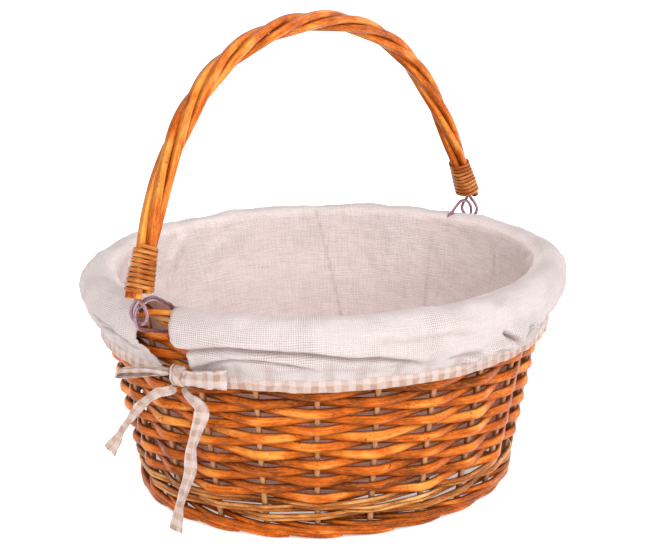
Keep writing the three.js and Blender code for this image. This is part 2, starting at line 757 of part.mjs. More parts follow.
makeBorders();
makeWaling();
makeWeaverRows();
makeStakes();
makeBottom();
makeHandleRods();
makeBindings();
makeHandleEyes();
makeRimRings();
makeFlap(makeLiningBag());
makeCasing();
makeBows();

export default basket;
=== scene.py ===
"""Dresses the packed frame of a lined wicker basket: willow rods, cane, wire, linen and gingham."""

import math

import bmesh
import bpy
import numpy as np
from mathutils import Matrix, Vector


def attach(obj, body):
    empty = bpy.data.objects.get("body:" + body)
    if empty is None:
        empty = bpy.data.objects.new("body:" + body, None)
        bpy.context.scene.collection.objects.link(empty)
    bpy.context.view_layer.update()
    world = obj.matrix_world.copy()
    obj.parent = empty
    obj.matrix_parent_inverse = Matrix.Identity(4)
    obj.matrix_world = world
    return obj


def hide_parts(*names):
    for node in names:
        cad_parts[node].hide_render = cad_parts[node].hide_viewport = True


bl_info = {
    "name": "Lined wicker basket",
    "version": (1, 0, 0),
    "blender": (4, 5, 0),
    "location": "3D View > Sidebar > Basket",
    "description": "Weaves and dresses an oval wicker basket with a lining and a swing handle",
    "category": "Object",
}

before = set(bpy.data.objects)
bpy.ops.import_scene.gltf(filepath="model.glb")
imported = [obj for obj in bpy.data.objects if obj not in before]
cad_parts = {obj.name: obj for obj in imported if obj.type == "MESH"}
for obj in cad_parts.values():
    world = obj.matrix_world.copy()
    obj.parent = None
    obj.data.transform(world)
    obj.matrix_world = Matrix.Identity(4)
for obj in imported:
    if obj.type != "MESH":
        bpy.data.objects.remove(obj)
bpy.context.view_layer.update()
MM = 0.001
TURN = 2 * math.pi
# Half the gap between a closed round's two ends, in radians
END_GAP = 0.006
# Points of a woven rod's line from one stake to the next
PER_STAKE = 12
# How far apart the grains of the rods in one piece begin, in metres
GRAIN_APART = 7.31
# Metres of cloth to a radian, round the lining and along the casing
LINING_ROUND = 0.182
CASING_ROUND = 0.17


def length(name, description, millimetres):
    return bpy.props.FloatProperty(name=name, description=description, default=millimetres * MM,
                                   unit="LENGTH", precision=4)


def count(name, description, default):
    return bpy.props.IntProperty(name=name, description=description, default=default, min=1)


def share(name, description, default):
    return bpy.props.FloatProperty(name=name, description=description, default=default)


def colour(name, description, default):
    return bpy.props.FloatVectorProperty(name=name, description=description, default=default,
                                         subtype="COLOR", size=3, min=0, max=1)


class BasketWall(bpy.types.PropertyGroup):
    """The oval that the stakes stand on, and the rods woven round it"""

    stakes: count("Stakes", "Upright stakes round the wall", 24)
    rows: count("Rows", "Rounds of weaving", 18)
    foot_half_x: length("Foot half width", "Stake oval at the floor, across the handle", 146)
    foot_half_y: length("Foot half length", "Stake oval at the floor, along the handle", 158.5)
    rim_half_x: length("Rim half width", "Stake oval at the rim, across the handle", 179)
    rim_half_y: length("Rim half length", "Stake oval at the rim, along the handle", 190.6)
    rim_height: length("Rim height", "Middle of the rim border above the floor", 173.2)
    stake_radius: length("Stake radius", "Half a stake's thickness", 2.3)
    rows_bottom: length("Rows from", "Height where the rows begin", 31.55)
    row_pitch: length("Row pitch", "Height of one row", 7.261)
    weaver_thick: length("Weaver thickness", "Through the wall", 5)
    weaver_reach: length("Weaver reach", "Middle of a weaver from the stakes' middle", 5.15)
    weaver_crest: length("Weaver crest", "Half a weaver's height where it passes outside", 4.3)
    weaver_neck: length("Weaver neck", "Half a weaver's height where it passes behind", 2.85)
    wale_strand: length("Waling strand", "Thickness of a strand of the waling", 3.2)
    wale_bottom: length("Waling from", "Height where the waling begins", 15.35)
    wale_pitch: length("Waling pitch", "Height of one waling rod", 5.4)
    foot_thick: length("Foot strand", "Thickness of a strand of the foot border", 4.9)
    bottom_height: length("Bottom height", "Middle of the bottom's sticks above the floor", 26)


class BasketHandle(bpy.types.PropertyGroup):
    """The arch of four twisted rods, its bindings and its wires"""

    half_span: length("Half span", "From the middle to the hinge wires", 220)
    end_height: length("End height", "Where the rods end", 195)
    apex_height: length("Top height", "Middle of the rods over the centre, if upright", 376)
    roundness: share("Roundness", "1 is a parabola, less has steeper ends", 0.512)
    lean: share("Lean", "Degrees that the handle leans to one side on its links", 5.2)
    rod_radius: length("Rod radius", "Half a rod's thickness", 3.5)
    rod_end_radius: length("Rod end radius", "Half a rod's thickness in the binding", 3.1)
    orbit: length("Rod orbit", "From the handle's middle to each rod's middle", 5.2)
    end_orbit: length("Rod end orbit", "The same, in the binding", 6.4)
    spread: length("Spread", "Length in the binding where the rods stand apart", 13)
    neck: length("Neck", "Length from each end over which the rods draw together", 40)
    binding_turns: count("Binding turns", "Turns of cane at each end", 9)
    binding_pitch: length("Binding pitch", "From one turn of cane to the next", 3.65)
    stub: length("Stub", "Length of rod below the binding", 5)
    wire_radius: length("Wire radius", "Half the wire's thickness", 1.4)
    eye_half_width: length("Eye half width", "Half the width of the eye", 8.5)
    eye_core: length("Eye core", "From the handle's middle to an eye's leg between the rods", 1.65)
    eye_depth: length("Eye depth", "From the hinge line to the eye's lowest middle", 13.6)
    pivot_drop: length("Hinge drop", "From the rods' ends down to the hinge line", 5)


class BasketLining(bpy.types.PropertyGroup):
    """The cloth bag, its turned-out flaps, the casing and the bows"""

    cloth: length("Cloth", "Thickness of the linen", 0.9)
    floor_height: length("Floor height", "Middle of the lining's bottom", 32.6)
    casing_height: length("Casing height", "Middle of the gingham casing", 133)
    casing_tall: length("Casing width", "Width of the gingham casing", 9.6)
    thread_pitch: length("Thread pitch", "From one linen thread to the next", 1.5)
    check: length("Check", "Side of one gingham check", 5.4)


class BasketFinish(bpy.types.PropertyGroup):
    """Colours, in linear values"""

    willow_deep: colour("Deep willow", "Red brown in the dark streaks", (0.14, 0.022, 0.003))
    willow: colour("Willow", "Varnished willow", (0.56, 0.106, 0.006))
    willow_light: colour("Light willow", "Honey patches", (0.85, 0.345, 0.066))
    stake: colour("Stake", "Paler, browner rods", (0.40, 0.185, 0.085))
    linen: colour("Linen", "Pinkish unbleached linen", (0.80, 0.715, 0.70))
    # painted light: the same linen is given a lighter colour inside the bag
    linen_lit_inside: colour("Linen inside", "The same, bleached inside the bag", (1.0, 0.88, 0.855))
    linen_gap: colour("Linen gaps", "Between the threads", (0.26, 0.18, 0.16))
    check_light: colour("Gingham white", "Checks without colour", (0.59, 0.475, 0.44))
    check_dark: colour("Gingham beige", "Checks where both threads have colour", (0.39, 0.24, 0.175))
    wire: colour("Wire", "Mauve brown wire", (0.20, 0.105, 0.13))
    floor: colour("Floor", "Studio floor", (0.96, 0.96, 0.96))


# Lines and the stake oval, in metres


def wall_axes(z):
    """Half the width and half the length of the stake oval at a height."""
    wall = bpy.context.scene.basket_wall
    k = np.asarray(z, float) / wall.rim_height
    return (wall.foot_half_x + (wall.rim_half_x - wall.foot_half_x) * k,
            wall.foot_half_y + (wall.rim_half_y - wall.foot_half_y) * k)


def unit(vectors):
    return vectors / np.linalg.norm(vectors, axis=-1, keepdims=True)


def outward(theta, z):
    """Square to the wall, level."""
    a, b = wall_axes(z)
    return unit(np.stack(np.broadcast_arrays(np.cos(theta) / a, np.sin(theta) / b, 0.0), -1))


def wall_point(theta, out, z):
    """A point off the stake oval at an angle and a height: out is measured square to the wall."""
    a, b = wall_axes(z)
    on_oval = np.stack(np.broadcast_arrays(a * np.cos(theta), b * np.sin(theta), z), -1)
    return on_oval + outward(theta, z) * np.asarray(out, float)[..., None]


def once_round(first):
    """The stakes that a rod passes once round from the first, and their angles: its ends just part."""
    stakes = bpy.context.scene.basket_wall.stakes
    stake = np.arange(first, first + stakes + 1)
    theta = TURN * (stake + 0.5) / stakes
    theta[[0, -1]] += END_GAP, -END_GAP
    return stake, theta


def turned(points, far):
    """A far piece is made at the near end and turned half round the basket's middle."""
    return points * [-1, -1, 1] if far else points


def ease(value, low, high):
    t = np.clip((np.asarray(value, float) - low) / (high - low), 0, 1)
    return t * t * (3 - 2 * t)


def drift(rng, x, wave):
    """A smooth random curve between about -1 and 1, over x, with bends about one wave long."""
    return sum(np.sin(math.pi * k * x / wave + rng.uniform(0, TURN)) / k for k in (1.0, 1.9, 3.3)) / 1.6


def round_drift(rng, angle, bends):
    """The same round the basket, so that it meets itself, with about so many bends."""
    return sum(np.sin(round(bends * k) * angle + rng.uniform(0, TURN)) / k for k in (1.0, 1.9, 3.3)) / 1.6


def run_along(line):
    """The distance along a line to each of its points."""
    return np.concatenate([[0], np.cumsum(np.linalg.norm(np.diff(line, axis=0), axis=1))])


def rounded(values, steps, passes):
    """Points in a straight line from station to station, with the corners then eased."""
    values = np.asarray(values, float)
    if values.ndim == 1:
        return rounded(values[:, None], steps, passes)[:, 0]
    t = np.linspace(0, len(values) - 1, (len(values) - 1) * steps + 1)
    low = np.minimum(t.astype(int), len(values) - 2)
    line = values[low] + (values[low + 1] - values[low]) * (t - low)[:, None]
    for _ in range(passes):
        line[1:-1] = (line[:-2] + 2 * line[1:-1] + line[2:]) / 4
    return line


def curve_through(points, n):
    """A smooth open curve through a few points, as n points evenly apart."""
    p = np.asarray(points, float)
    p = np.vstack([2 * p[0] - p[1], p, 2 * p[-1] - p[-2]])
    t = np.linspace(0, 1, 24, endpoint=False)[:, None]
    fine = [0.5 * (2 * b + (c - a) * t + (2 * a - 5 * b + 4 * c - d) * t**2
                   + (3 * b - a - 3 * c + d) * t**3) for a, b, c, d in zip(p, p[1:], p[2:], p[3:])]
    fine = np.vstack([*fine, p[-2]])
    run = run_along(fine)
    return np.stack([np.interp(np.linspace(0, run[-1], n), run, axis) for axis in fine.T], 1)


def directions(centre, lean):
    """Two directions square to a line: the first leans on the given direction."""
    along = unit(np.gradient(centre, axis=0))
    lean = np.broadcast_to(np.asarray(lean, float), centre.shape)
    across = unit(lean - along * np.einsum("ij,ij->i", lean, along)[:, None])
    return across, np.cross(along, across)


# Node trees, meshes and pieces


class Wires:
    """Adds nodes to a tree."""

    def __init__(self, tree):
        self.tree = tree

    def node(self, kind, inputs=(), out=0, **settings):
        """Makes a node and gives one output. Each input is a socket to link or a plain value."""
        made = self.tree.nodes.new(kind)
        for key, value in settings.items():
            setattr(made, key, value)
        for key, value in dict(inputs).items():
            if isinstance(value, bpy.types.NodeSocket):
                self.tree.links.new(value, made.inputs[key])
            else:
                made.inputs[key].default_value = value
        return made.outputs[out] if len(made.outputs) else None

    def math(self, operation, *values):
        return self.node("ShaderNodeMath", enumerate(values), operation=operation)

    def times(self, a, b):
        return self.math("MULTIPLY", a, b)

    def times_plus(self, a, b, c):
        return self.math("MULTIPLY_ADD", a, b, c)

    def vector(self, operation, *values):
        return self.node("ShaderNodeVectorMath", enumerate(values), operation=operation)

    def scaled(self, vector, factor):
        return self.node("ShaderNodeVectorMath", {0: vector, "Scale": factor}, operation="SCALE")

    def parts(self, vector):
        return self.node("ShaderNodeSeparateXYZ", {0: vector}).node.outputs

    def vec(self, *parts):
        return self.node("ShaderNodeCombineXYZ", enumerate(parts))

    def noise(self, vector, scale=1.0, detail=2.0, roughness=0.5):
        return self.node("ShaderNodeTexNoise", {"Vector": vector, "Scale": scale, "Detail": detail,
                                                "Roughness": roughness})

    def range(self, value, *ends):
        """Eases a value from low to high into 0 to 1, or into two more values given."""
        return self.node("ShaderNodeMapRange", enumerate((value, *ends)), interpolation_type="SMOOTHSTEP")

    def thread(self, value, pitch):
        return self.math("ABSOLUTE", self.math("SINE", self.times(value, math.pi / pitch)))

    def carried(self, name, out="Fac"):
        return self.node("ShaderNodeAttribute", out=out, attribute_name=name)

    def ramp(self, value, stops):
        made = self.node("ShaderNodeValToRGB", {0: value})
        elements = made.node.color_ramp.elements
        while len(elements) < len(stops):
            elements.new(0.5)
        for element, (place, tone) in zip(elements, stops):
            element.position = place
            element.color = (*tone, 1)
        return made

    def mixed(self, factor, a, b, kind="MIX"):
        a, b = (tone if isinstance(tone, bpy.types.NodeSocket) else (*tone, 1) for tone in (a, b))
        return self.node("ShaderNodeMix", {0: factor, 6: a, 7: b}, 2, data_type="RGBA", blend_type=kind)

    def bump(self, strength, distance, height, *under):
        inputs = {"Strength": strength, "Distance": distance, "Height": height}
        return self.node("ShaderNodeBump", inputs | {"Normal": normal for normal in under})

    def surface(self, **inputs):
        named = {key.replace("_", " "): value for key, value in inputs.items()}
        return self.node("ShaderNodeBsdfPrincipled", named)

    def finish(self, shader):
        self.node("ShaderNodeOutputMaterial", {0: shader})


def rod_tree():
    """Sweeps an oval section along every path of the input, with the sizes that its points carry."""
    name = "Rod along a path"
    if name in bpy.data.node_groups:
        return bpy.data.node_groups[name]
    tree = bpy.data.node_groups.new(name, "GeometryNodeTree")
    for label, kind in (("Path", "Geometry"), ("Sides", "Int"), ("Fullness", "Float"),
                        ("Bumps", "Float"), ("Bump length", "Float"), ("Material", "Material")):
        tree.interface.new_socket(label, in_out="INPUT", socket_type="NodeSocket" + kind)
    tree.interface.new_socket("Rod", in_out="OUTPUT", socket_type="NodeSocketGeometry")
    w = Wires(tree)
    given = w.node("NodeGroupInput").node.outputs

    def carried(label, kind="FLOAT"):
        return w.node("GeometryNodeInputNamedAttribute", {0: label}, data_type=kind)

    def keep(geometry, label, value, kind="FLOAT_VECTOR"):
        inputs = {0: geometry, 2: label, 3: value}
        return w.node("GeometryNodeStoreNamedAttribute", inputs, data_type=kind)

    section = w.node("GeometryNodeCurvePrimitiveCircle", {0: given["Sides"]})
    section = keep(section, "section", w.node("GeometryNodeInputPosition"))
    line = w.node("GeometryNodeMeshToCurve", {0: given["Path"]})
    swept = w.node("GeometryNodeCurveToMesh", {"Curve": line, "Profile Curve": section,
                                                "Fill Caps": True})
    x, y, _ = w.parts(carried("section", "FLOAT_VECTOR"))
    wide, tall = w.times(x, carried("wide")), w.times(y, carried("tall"))
    squares = [w.math("POWER", w.math("ABSOLUTE", value), given["Fullness"]) for value in (x, y)]
    full = w.math("POWER", w.math("ADD", *squares), w.math("DIVIDE", -1.0, given["Fullness"]))
    grain = w.vec(carried("along"), wide, tall)
    lumps = w.noise(w.vector("DIVIDE", grain, w.vec(given["Bump length"], 0.008, 0.008)))
    size = w.times(full, w.times_plus(w.math("SUBTRACT", lumps, 0.5), given["Bumps"], 1.0))
    sideways = w.scaled(carried("across", "FLOAT_VECTOR"), w.times(wide, size))
    upwards = w.scaled(carried("up", "FLOAT_VECTOR"), w.times(tall, size))
    spot = w.vector("ADD", carried("centre", "FLOAT_VECTOR"), w.vector("ADD", sideways, upwards))
    kept = keep(keep(swept, "grain", grain), "edge", y, "FLOAT")
    shaped = w.node("GeometryNodeSetPosition", {0: kept, 2: spot})
    smooth = w.node("GeometryNodeSetShadeSmooth", {0: shaped})
    real = w.node("GeometryNodeRealizeInstances", {0: smooth})
    w.node("NodeGroupOutput", {0: w.node("GeometryNodeSetMaterial", {0: real, 2: given["Material"]})})
    return tree


def store(mesh, name, values, domain="POINT"):
    """Keeps a number or a vector for each point or corner of a mesh."""
    kind, field = ("FLOAT_VECTOR", "vector") if values.ndim == 2 else ("FLOAT", "value")
    layer = mesh.attributes.new(name, kind, domain)
    layer.data.foreach_set(field, values.astype(np.float32).ravel())


def new_piece(name, mesh):
    piece = bpy.data.objects.new(name, mesh)
    bpy.context.scene.collection.objects.link(piece)
    return piece


def finish_piece(piece, body, slot, *nodes):
    """Says which body the piece rides on, and hides the CAD nodes that it stands for. The slot is not
    used.
    """
    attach(piece, body)
    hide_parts(*nodes)


def face_outwards(mesh):
    """Turns the faces round where the closed shell points inwards."""
    mesh.calc_loop_triangles()
    corners = np.empty(len(mesh.loop_triangles) * 3, int)
    mesh.loop_triangles.foreach_get("vertices", corners)
    places = np.empty(len(mesh.vertices) * 3)
    mesh.vertices.foreach_get("co", places)
    a, b, c = np.moveaxis(places.reshape(-1, 3)[corners].reshape(-1, 3, 3), 1, 0)
    if np.einsum("ij,ij->i", a, np.cross(b, c)).sum() < 0:
        mesh.flip_normals()


def grid_quads(rows, columns, closed_u=False, closed_v=False):
    i = np.arange(rows if closed_u else rows - 1)[:, None]
    j = np.arange(columns if closed_v else columns - 1)[None]
    at = lambda a, b: (a % rows) * columns + b % columns
    return np.stack([at(i, j), at(i + 1, j), at(i + 1, j + 1), at(i, j + 1)], -1).reshape(-1, 4)


def tube_piece(name, places, material, closed):
    """A tube over a grid of points, row by row, either a ring or with flat ends."""
    rows, columns = places.shape[:2]
    faces = grid_quads(rows, columns, closed, True).tolist()
    if not closed:
        first = list(range(columns))
        faces += [first[::-1], [(rows - 1) * columns + corner for corner in first]]
    mesh = bpy.data.meshes.new(name)
    mesh.from_pydata(places.reshape(-1, 3).tolist(), [], faces)
    mesh.materials.append(material)
    mesh.shade_smooth()
    face_outwards(mesh)
    return new_piece(name, mesh)


class Rods:
    """Centre lines of rods, each point with its section's directions and sizes."""

    def __init__(self, far=False):
        self.far, self.size = far, 0
        self.edges, self.values = [], {}

    def add(self, centre, lean, wide, tall, tint=0.0, behind=0.0, start=None):
        """Adds a rod along a line: its width leans on a direction, and its grain begins at start."""
        n = len(centre)
        if start is None:
            start = GRAIN_APART * len(self.edges)
        vectors = {key: turned(rows, self.far) for key, rows in
                   zip(("centre", "across", "up"), (centre, *directions(centre, lean)))}
        numbers = {"along": start + run_along(centre), "wide": wide, "tall": tall, "tint": tint,
                   "behind": behind}
        for key, value in (vectors | numbers).items():
            rows = np.broadcast_to(np.asarray(value, float), (n, 3) if key in vectors else (n,))
            self.values.setdefault(key, []).append(rows)
        self.edges.append(np.stack([np.arange(n - 1), np.arange(1, n)], 1) + self.size)
        self.size += n

    def weave(self, theta, out, z, *sizes, steps=PER_STAKE, passes=(5, 3), **more):
        """Adds a rod that goes from place to place along the wall."""
        centre = rounded(wall_point(theta, out, z), steps, passes[0])
        self.add(centre, rounded(outward(theta, z), steps, passes[1]), *sizes, **more)

    def sweep(self, name, material, slot, *nodes, body="basket", sides=12, fullness=2.3, bumps=0.0,
              bump_length=0.03):
        """Makes the rods one piece, which stands for the CAD nodes."""
        values = {key: np.concatenate(rows) for key, rows in self.values.items()}
        mesh = bpy.data.meshes.new(name + "_path")
        mesh.from_pydata(values["centre"].tolist(), np.concatenate(self.edges).tolist(), [])
        for key, rows in values.items():
            store(mesh, key, rows)
        piece = new_piece(name, mesh)
        modifier = piece.modifiers.new("Rods", "NODES")
        modifier.node_group = rod_tree()
        given = {"Sides": sides, "Fullness": fullness, "Bumps": bumps, "Bump length": bump_length,
                 "Material": material}
        for item in modifier.node_group.interface.items_tree:
            if item.name in given:
                modifier[item.identifier] = given[item.name]
        view = bpy.context.evaluated_depsgraph_get()
        solid = bpy.data.meshes.new_from_object(piece.evaluated_get(view))
        piece.modifiers.clear()
        piece.data = solid
        bpy.data.meshes.remove(mesh)
        solid.name = name
        for key in ("centre", "across", "up", "section", "wide", "tall", "along"):
            if key in solid.attributes:
                solid.attributes.remove(solid.attributes[key])
        face_outwards(solid)
        finish_piece(piece, body, slot, *nodes)


# Materials


def shared(make):
    """Makes a material once for all the pieces that wear it."""

    def wear(name, **settings):
        if name not in bpy.data.materials:
            material = bpy.data.materials.new(name)
            material.use_nodes = True
            material.node_tree.nodes.clear()
            make(Wires(material.node_tree), **settings)
        return bpy.data.materials[name]

    return wear


@shared
def willow(w, light=0.0, flecks=1.0, stain=0.75, under=0.0, deep=None, mid=None, pale=None,
           roughness=0.34, gloss=0.05):
    """Varnished willow: colour drifts along the rod, fine streaks follow it, and dark flecks dot it."""
    finish = bpy.context.scene.basket_finish
    deep, mid, pale = deep or finish.willow_deep, mid or finish.willow, pale or finish.willow_light
    grain, edge = w.carried("grain", "Vector"), w.carried("edge")

    def along(length, girth, detail):
        return w.noise(w.vector("MULTIPLY", grain, (length, girth, girth)), detail=detail)

    patches, streaks, fine = along(38, 90, 3), along(45, 1100, 2), along(260, 2200, 1)
    tone = w.times_plus(w.carried("tint"), 0.17, 0.52 + light)
    tone = w.math("ADD", tone, w.times_plus(patches, 1.5, -0.75))
    tone = w.math("ADD", tone, w.times_plus(streaks, 0.6, -0.3))
    # painted shade where the rod passes behind a stake or another rod
    tone = w.math("SUBTRACT", tone, w.times(w.carried("behind"), 0.3))
    blend = lambda a, b: tuple(0.45 * x + 0.55 * y for x, y in zip(a, b))
    tones = w.ramp(tone, [(0.05, deep), (0.32, blend(deep, mid)), (0.5, mid),
                          (0.72, blend(mid, pale)), (0.98, pale)])
    dark = w.times(w.range(along(420, 620, 1), 0.64, 0.7), w.range(along(55, 60, 1), 0.46, 0.58))
    tones = w.mixed(w.times(dark, 0.85 * flecks), tones, (0.05, 0.012, 0.004))
    tones = w.mixed(w.range(fine, 0.5, 0.72, 0.0, 0.3), tones, pale)
    tones = w.mixed(w.range(fine, 0.46, 0.28, 0.0, 0.45), tones, deep)
    # painted shade: darker along a rod's edges, where it meets the rods beside it, and more of it
    # underneath
    painted_shade = w.times(w.range(w.math("ABSOLUTE", edge), 0.72, 1.0), stain)
    painted_shade = w.math("MAXIMUM", painted_shade, w.times(w.range(edge, 0.1, 0.95), under))
    tones = w.mixed(painted_shade, tones, tuple(0.6 * c for c in deep))
    relief = w.math("ADD", w.times(streaks, 0.6), w.times(fine, 0.3))
    w.finish(w.surface(
        Base_Color=tones, Roughness=w.times_plus(streaks, 0.16, roughness - 0.06),
        Normal=w.bump(0.4, 0.0008, relief), Coat_Weight=gloss, Coat_Roughness=0.2,
        Specular_IOR_Level=0.18, Specular_Tint=(1.0, 0.62, 0.28, 1)))


def red_willow():
    return willow("red_willow", under=0.5)


def stake_willow():
    tone = tuple(bpy.context.scene.basket_finish.stake)
    return willow("bark_willow", light=0.05, flecks=0.5, deep=tuple(0.45 * c for c in tone), mid=tone,
                  pale=tuple(min(1.5 * c, 1) for c in tone), roughness=0.45)


@shared
def linen(w, through=0.25, warmth=(1, 1, 1)):
    """Coarse open linen: threads both ways, darker between them, uneven and slubbed."""
    finish = bpy.context.scene.basket_finish
    pitch = bpy.context.scene.basket_lining.thread_pitch
    grain, inside = w.carried("grain", "Vector"), w.carried("inside")
    wobble = w.times_plus(w.noise(grain, 90), 0.0022, -0.0011)
    u, v, _ = w.parts(grain)
    warp = w.thread(w.math("ADD", u, wobble), pitch)
    weft = w.thread(w.math("SUBTRACT", v, wobble), pitch)
    slub_u = w.noise(w.vector("MULTIPLY", grain, (1 / pitch, 45, 1)), detail=1)
    slub_v = w.noise(w.vector("MULTIPLY", grain, (45, 1 / pitch, 1)), detail=1)
    slubs = w.math("ADD", w.range(slub_u, 0.35, 0.75), w.range(slub_v, 0.35, 0.75))
    holes = w.times(w.range(warp, 0.95, 0.3), w.range(weft, 0.95, 0.3))
    holes = w.times(holes, w.range(w.noise(grain, 24), 0.4, 0.6, 0.25, 1.0))
    speckle = w.noise(grain, 620, 3, 0.7)
    # painted light: the cloth inside the bag is lighter than outside
    base = w.mixed(inside, finish.linen, finish.linen_lit_inside)
    base = w.mixed(w.times(slubs, 0.26), base, tuple(c * 0.8 for c in finish.linen))
    base = w.mixed(w.range(speckle, 0.46, 0.74, 0.0, 0.5), base,
                   tuple(c * k for c, k in zip(finish.linen, (0.78, 0.70, 0.64))))
    base = w.mixed(w.times(holes, w.times_plus(inside, -0.6, 0.95)), base, finish.linen_gap)
    base = w.mixed(w.times(w.carried("seam"), 0.36), base, finish.linen_gap)
    # painted shade in the creases of the flaps and the troughs of the gathers
    base = w.mixed(w.times(w.carried("hollow"), 0.55), base, (0.44, 0.31, 0.27))
    # warmth tints a copy of the linen for one skin of the sheet, as painted light
    base = w.mixed(1.0, base, warmth, "MULTIPLY")
    relief = w.math("ADD", w.math("ADD", warp, weft), w.times(slubs, 0.8))
    wrinkles = w.bump(0.45, 0.01, w.noise(grain, 34, 3))
    cloth = w.surface(Base_Color=base, Roughness=0.9, Normal=w.bump(0.45, 0.0006, relief, wrinkles),
                      Sheen_Weight=0.1, Sheen_Roughness=0.5, Specular_IOR_Level=0.2)
    glow = w.node("ShaderNodeBsdfTranslucent", {"Color": base})
    w.finish(w.node("ShaderNodeMixShader", {0: through, 1: cloth, 2: glow}))


@shared
def gingham(w):
    """Two-way checks: white, beige where both threads are coloured, and between where one is."""
    finish = bpy.context.scene.basket_finish
    check = bpy.context.scene.basket_lining.check
    grain = w.carried("grain", "Vector")
    along, _, height = w.parts(grain)
    uneven = w.times_plus(w.noise(grain, 130, 1), 0.003, -0.0015)
    along, height = w.math("ADD", along, uneven), w.math("SUBTRACT", height, uneven)

    def stripe(value, shift):
        return w.range(w.math("SINE", w.times_plus(value, math.pi / check, shift)), -0.16, 0.16)

    both = w.math("ADD", stripe(along, 0.4), stripe(height, 0.3))
    white, beige = finish.check_light, finish.check_dark
    middle = tuple(0.56 * a + 0.44 * b for a, b in zip(white, beige))
    tones = w.ramp(w.times(both, 0.5), [(0.0, white), (0.5, middle), (1.0, beige)])
    tones = w.mixed(w.range(w.noise(grain, 150, 3, 0.6), 0.35, 0.75, 0.0, 0.4), tones,
                    (0.60, 0.50, 0.46))
    tones = w.mixed(w.range(w.noise(grain, 900, 2, 0.7), 0.5, 0.72, 0.0, 0.4), tones,
                    (0.34, 0.25, 0.22))
    creases = w.bump(0.6, 0.0035, w.noise(w.vector("MULTIPLY", grain, (0.45, 1, 1.4)), 190))
    threads = w.math("ADD", w.thread(along, 0.7 * MM), w.thread(height, 0.7 * MM))
    w.finish(w.surface(
        Base_Color=tones, Roughness=0.88, Normal=w.bump(0.3, 0.0003, threads, creases),
        Sheen_Weight=0.1, Sheen_Roughness=0.5, Specular_IOR_Level=0.2))


@shared
def wire_finish(w):
    wire = bpy.context.scene.basket_finish.wire
    worn = w.noise(w.node("ShaderNodeTexCoord", out="Object"), 700, 3)
    w.finish(w.surface(
        Base_Color=w.mixed(w.range(worn, 0.35, 0.7), wire, tuple(1.9 * c for c in wire)),
        Metallic=0.55, Roughness=0.34, Normal=w.bump(0.15, 0.0003, worn), Coat_Weight=0.2,
        Coat_Roughness=0.2))


@shared
def studio_floor(w):
    floor = bpy.context.scene.basket_finish.floor
    w.finish(w.surface(Base_Color=(*floor, 1), Roughness=0.95, Specular_IOR_Level=0.05,
                       Emission_Color=(1, 1, 1, 1), Emission_Strength=0.42))


# Pieces


class BASKET_OT_stage(bpy.types.Operator):
    """Camera at the photograph's angle, soft studio lights and a pale floor"""

    bl_idname = "basket.stage"
    bl_label = "Studio"

    def execute(self, context):
        scene = context.scene
        data = bpy.data.cameras.new("camera")
        data.sensor_fit, data.sensor_width, data.lens, data.clip_end = "HORIZONTAL", 36, 82.665, 20
        forward = Vector((-0.596505, 0.759895, -0.258342)).normalized()
        right = Vector((0.787798, 0.615889, -0.007411))
        right = (right - forward * right.dot(forward)).normalized()
        turn = Matrix((right, right.cross(forward), -forward)).transposed()
        scene.camera = new_piece("camera", data)
        scene.camera.matrix_world = Matrix.LocRotScale((0.74535, -0.95107, 0.48852), turn, None)
        scene.view_settings.view_transform = "Standard"

        bpy.ops.mesh.primitive_plane_add(size=30)
        floor = context.active_object
        floor.name = "floor"
        floor.data.materials.append(studio_floor("studio_floor"))

        scene.world = bpy.data.worlds.new("studio")
        scene.world.use_nodes = True
        tree = scene.world.node_tree
        w = Wires(tree)
        around = w.node("ShaderNodeTexCoord", out="Generated")
        lit_from = {0: around, 1: (0.62, 0.5, 0.6)}
        side = w.node("ShaderNodeVectorMath", lit_from, "Value", operation="DOT_PRODUCT")
        sky = tree.nodes["Background"]
        sky.inputs[0].default_value = (1, 1, 1, 1)
        # the light comes mostly from one side above, and the sky by the horizon stays even
        above = w.times(side, w.range(w.parts(around)[2], 0.15, 0.5))
        tree.links.new(w.times_plus(above, 0.22, 0.97), sky.inputs[1])
        lights = (("soft_top", 1.4, 60, (-0.64, 0.38, -0.65)),
                  ("soft_side", 0.5, 40, (-0.88, 0.46, -0.2)))
        for name, energy, spread, towards in lights:
            light = bpy.data.lights.new(name, "SUN")
            light.energy, light.angle = energy, math.radians(spread)
            new_piece(name, light).rotation_euler = Vector(towards).to_track_quat("-Z", "Y").to_euler()
        return {"FINISHED"}


# The knot's middle: beside the slit, off the stakes, and height, in millimetres
KNOT = (13, 12, 133)
# Routes of the bow's tails from the knot's middle: sideways, outwards and up, in millimetres, and
# half the width of the bunched cloth by the share of the tail
SHORT_TAIL = [
    (-3.6, 1, -9.4), (-7, 1.8, -12.2), (-16, 4, -15.2), (-23.5, 5.5, -19.5), (-30, 6, -25),
    (-38, 6, -32.6), (-50, 6, -48), (-59.6, 6, -61.3), (-66, 6, -70.4),
]
SHORT_WIDTHS = [(0, 3.2), (0.15, 4.3), (0.3, 3.2), (0.45, 4.2), (0.6, 3.0), (0.8, 3.3), (1, 6.2)]
LONG_TAIL = [
    (3.6, -1, -9.4), (7, 1, -12.4), (14, 3.5, -14.6), (21, 4, -18), (23, 4, -25), (16, 3.5, -42.5),
    (11.3, 3, -57.4), (9.5, 3, -73.8), (3.2, 2.5, -89.5), (-2.7, 2, -107.3), (-6.9, 2, -124),
]
LONG_WIDTHS = [(0, 3.2), (0.1, 4.6), (0.2, 6.3), (0.3, 4.8), (0.42, 3.8), (0.55, 5.3), (0.7, 4.3),
               (0.82, 3.6), (0.9, 4.8), (1, 6.4)]


def bow_frame():
    """The knot's middle and the directions sideways, outwards and up."""
    height = KNOT[2] * MM
    theta = -math.pi / 2 + math.asin(KNOT[0] * MM / wall_axes(height)[0])
    out, up = outward(theta, height), np.array([0, 0, 1.0])
    return wall_point(theta, KNOT[1] * MM, height), np.cross(up, out), out, up


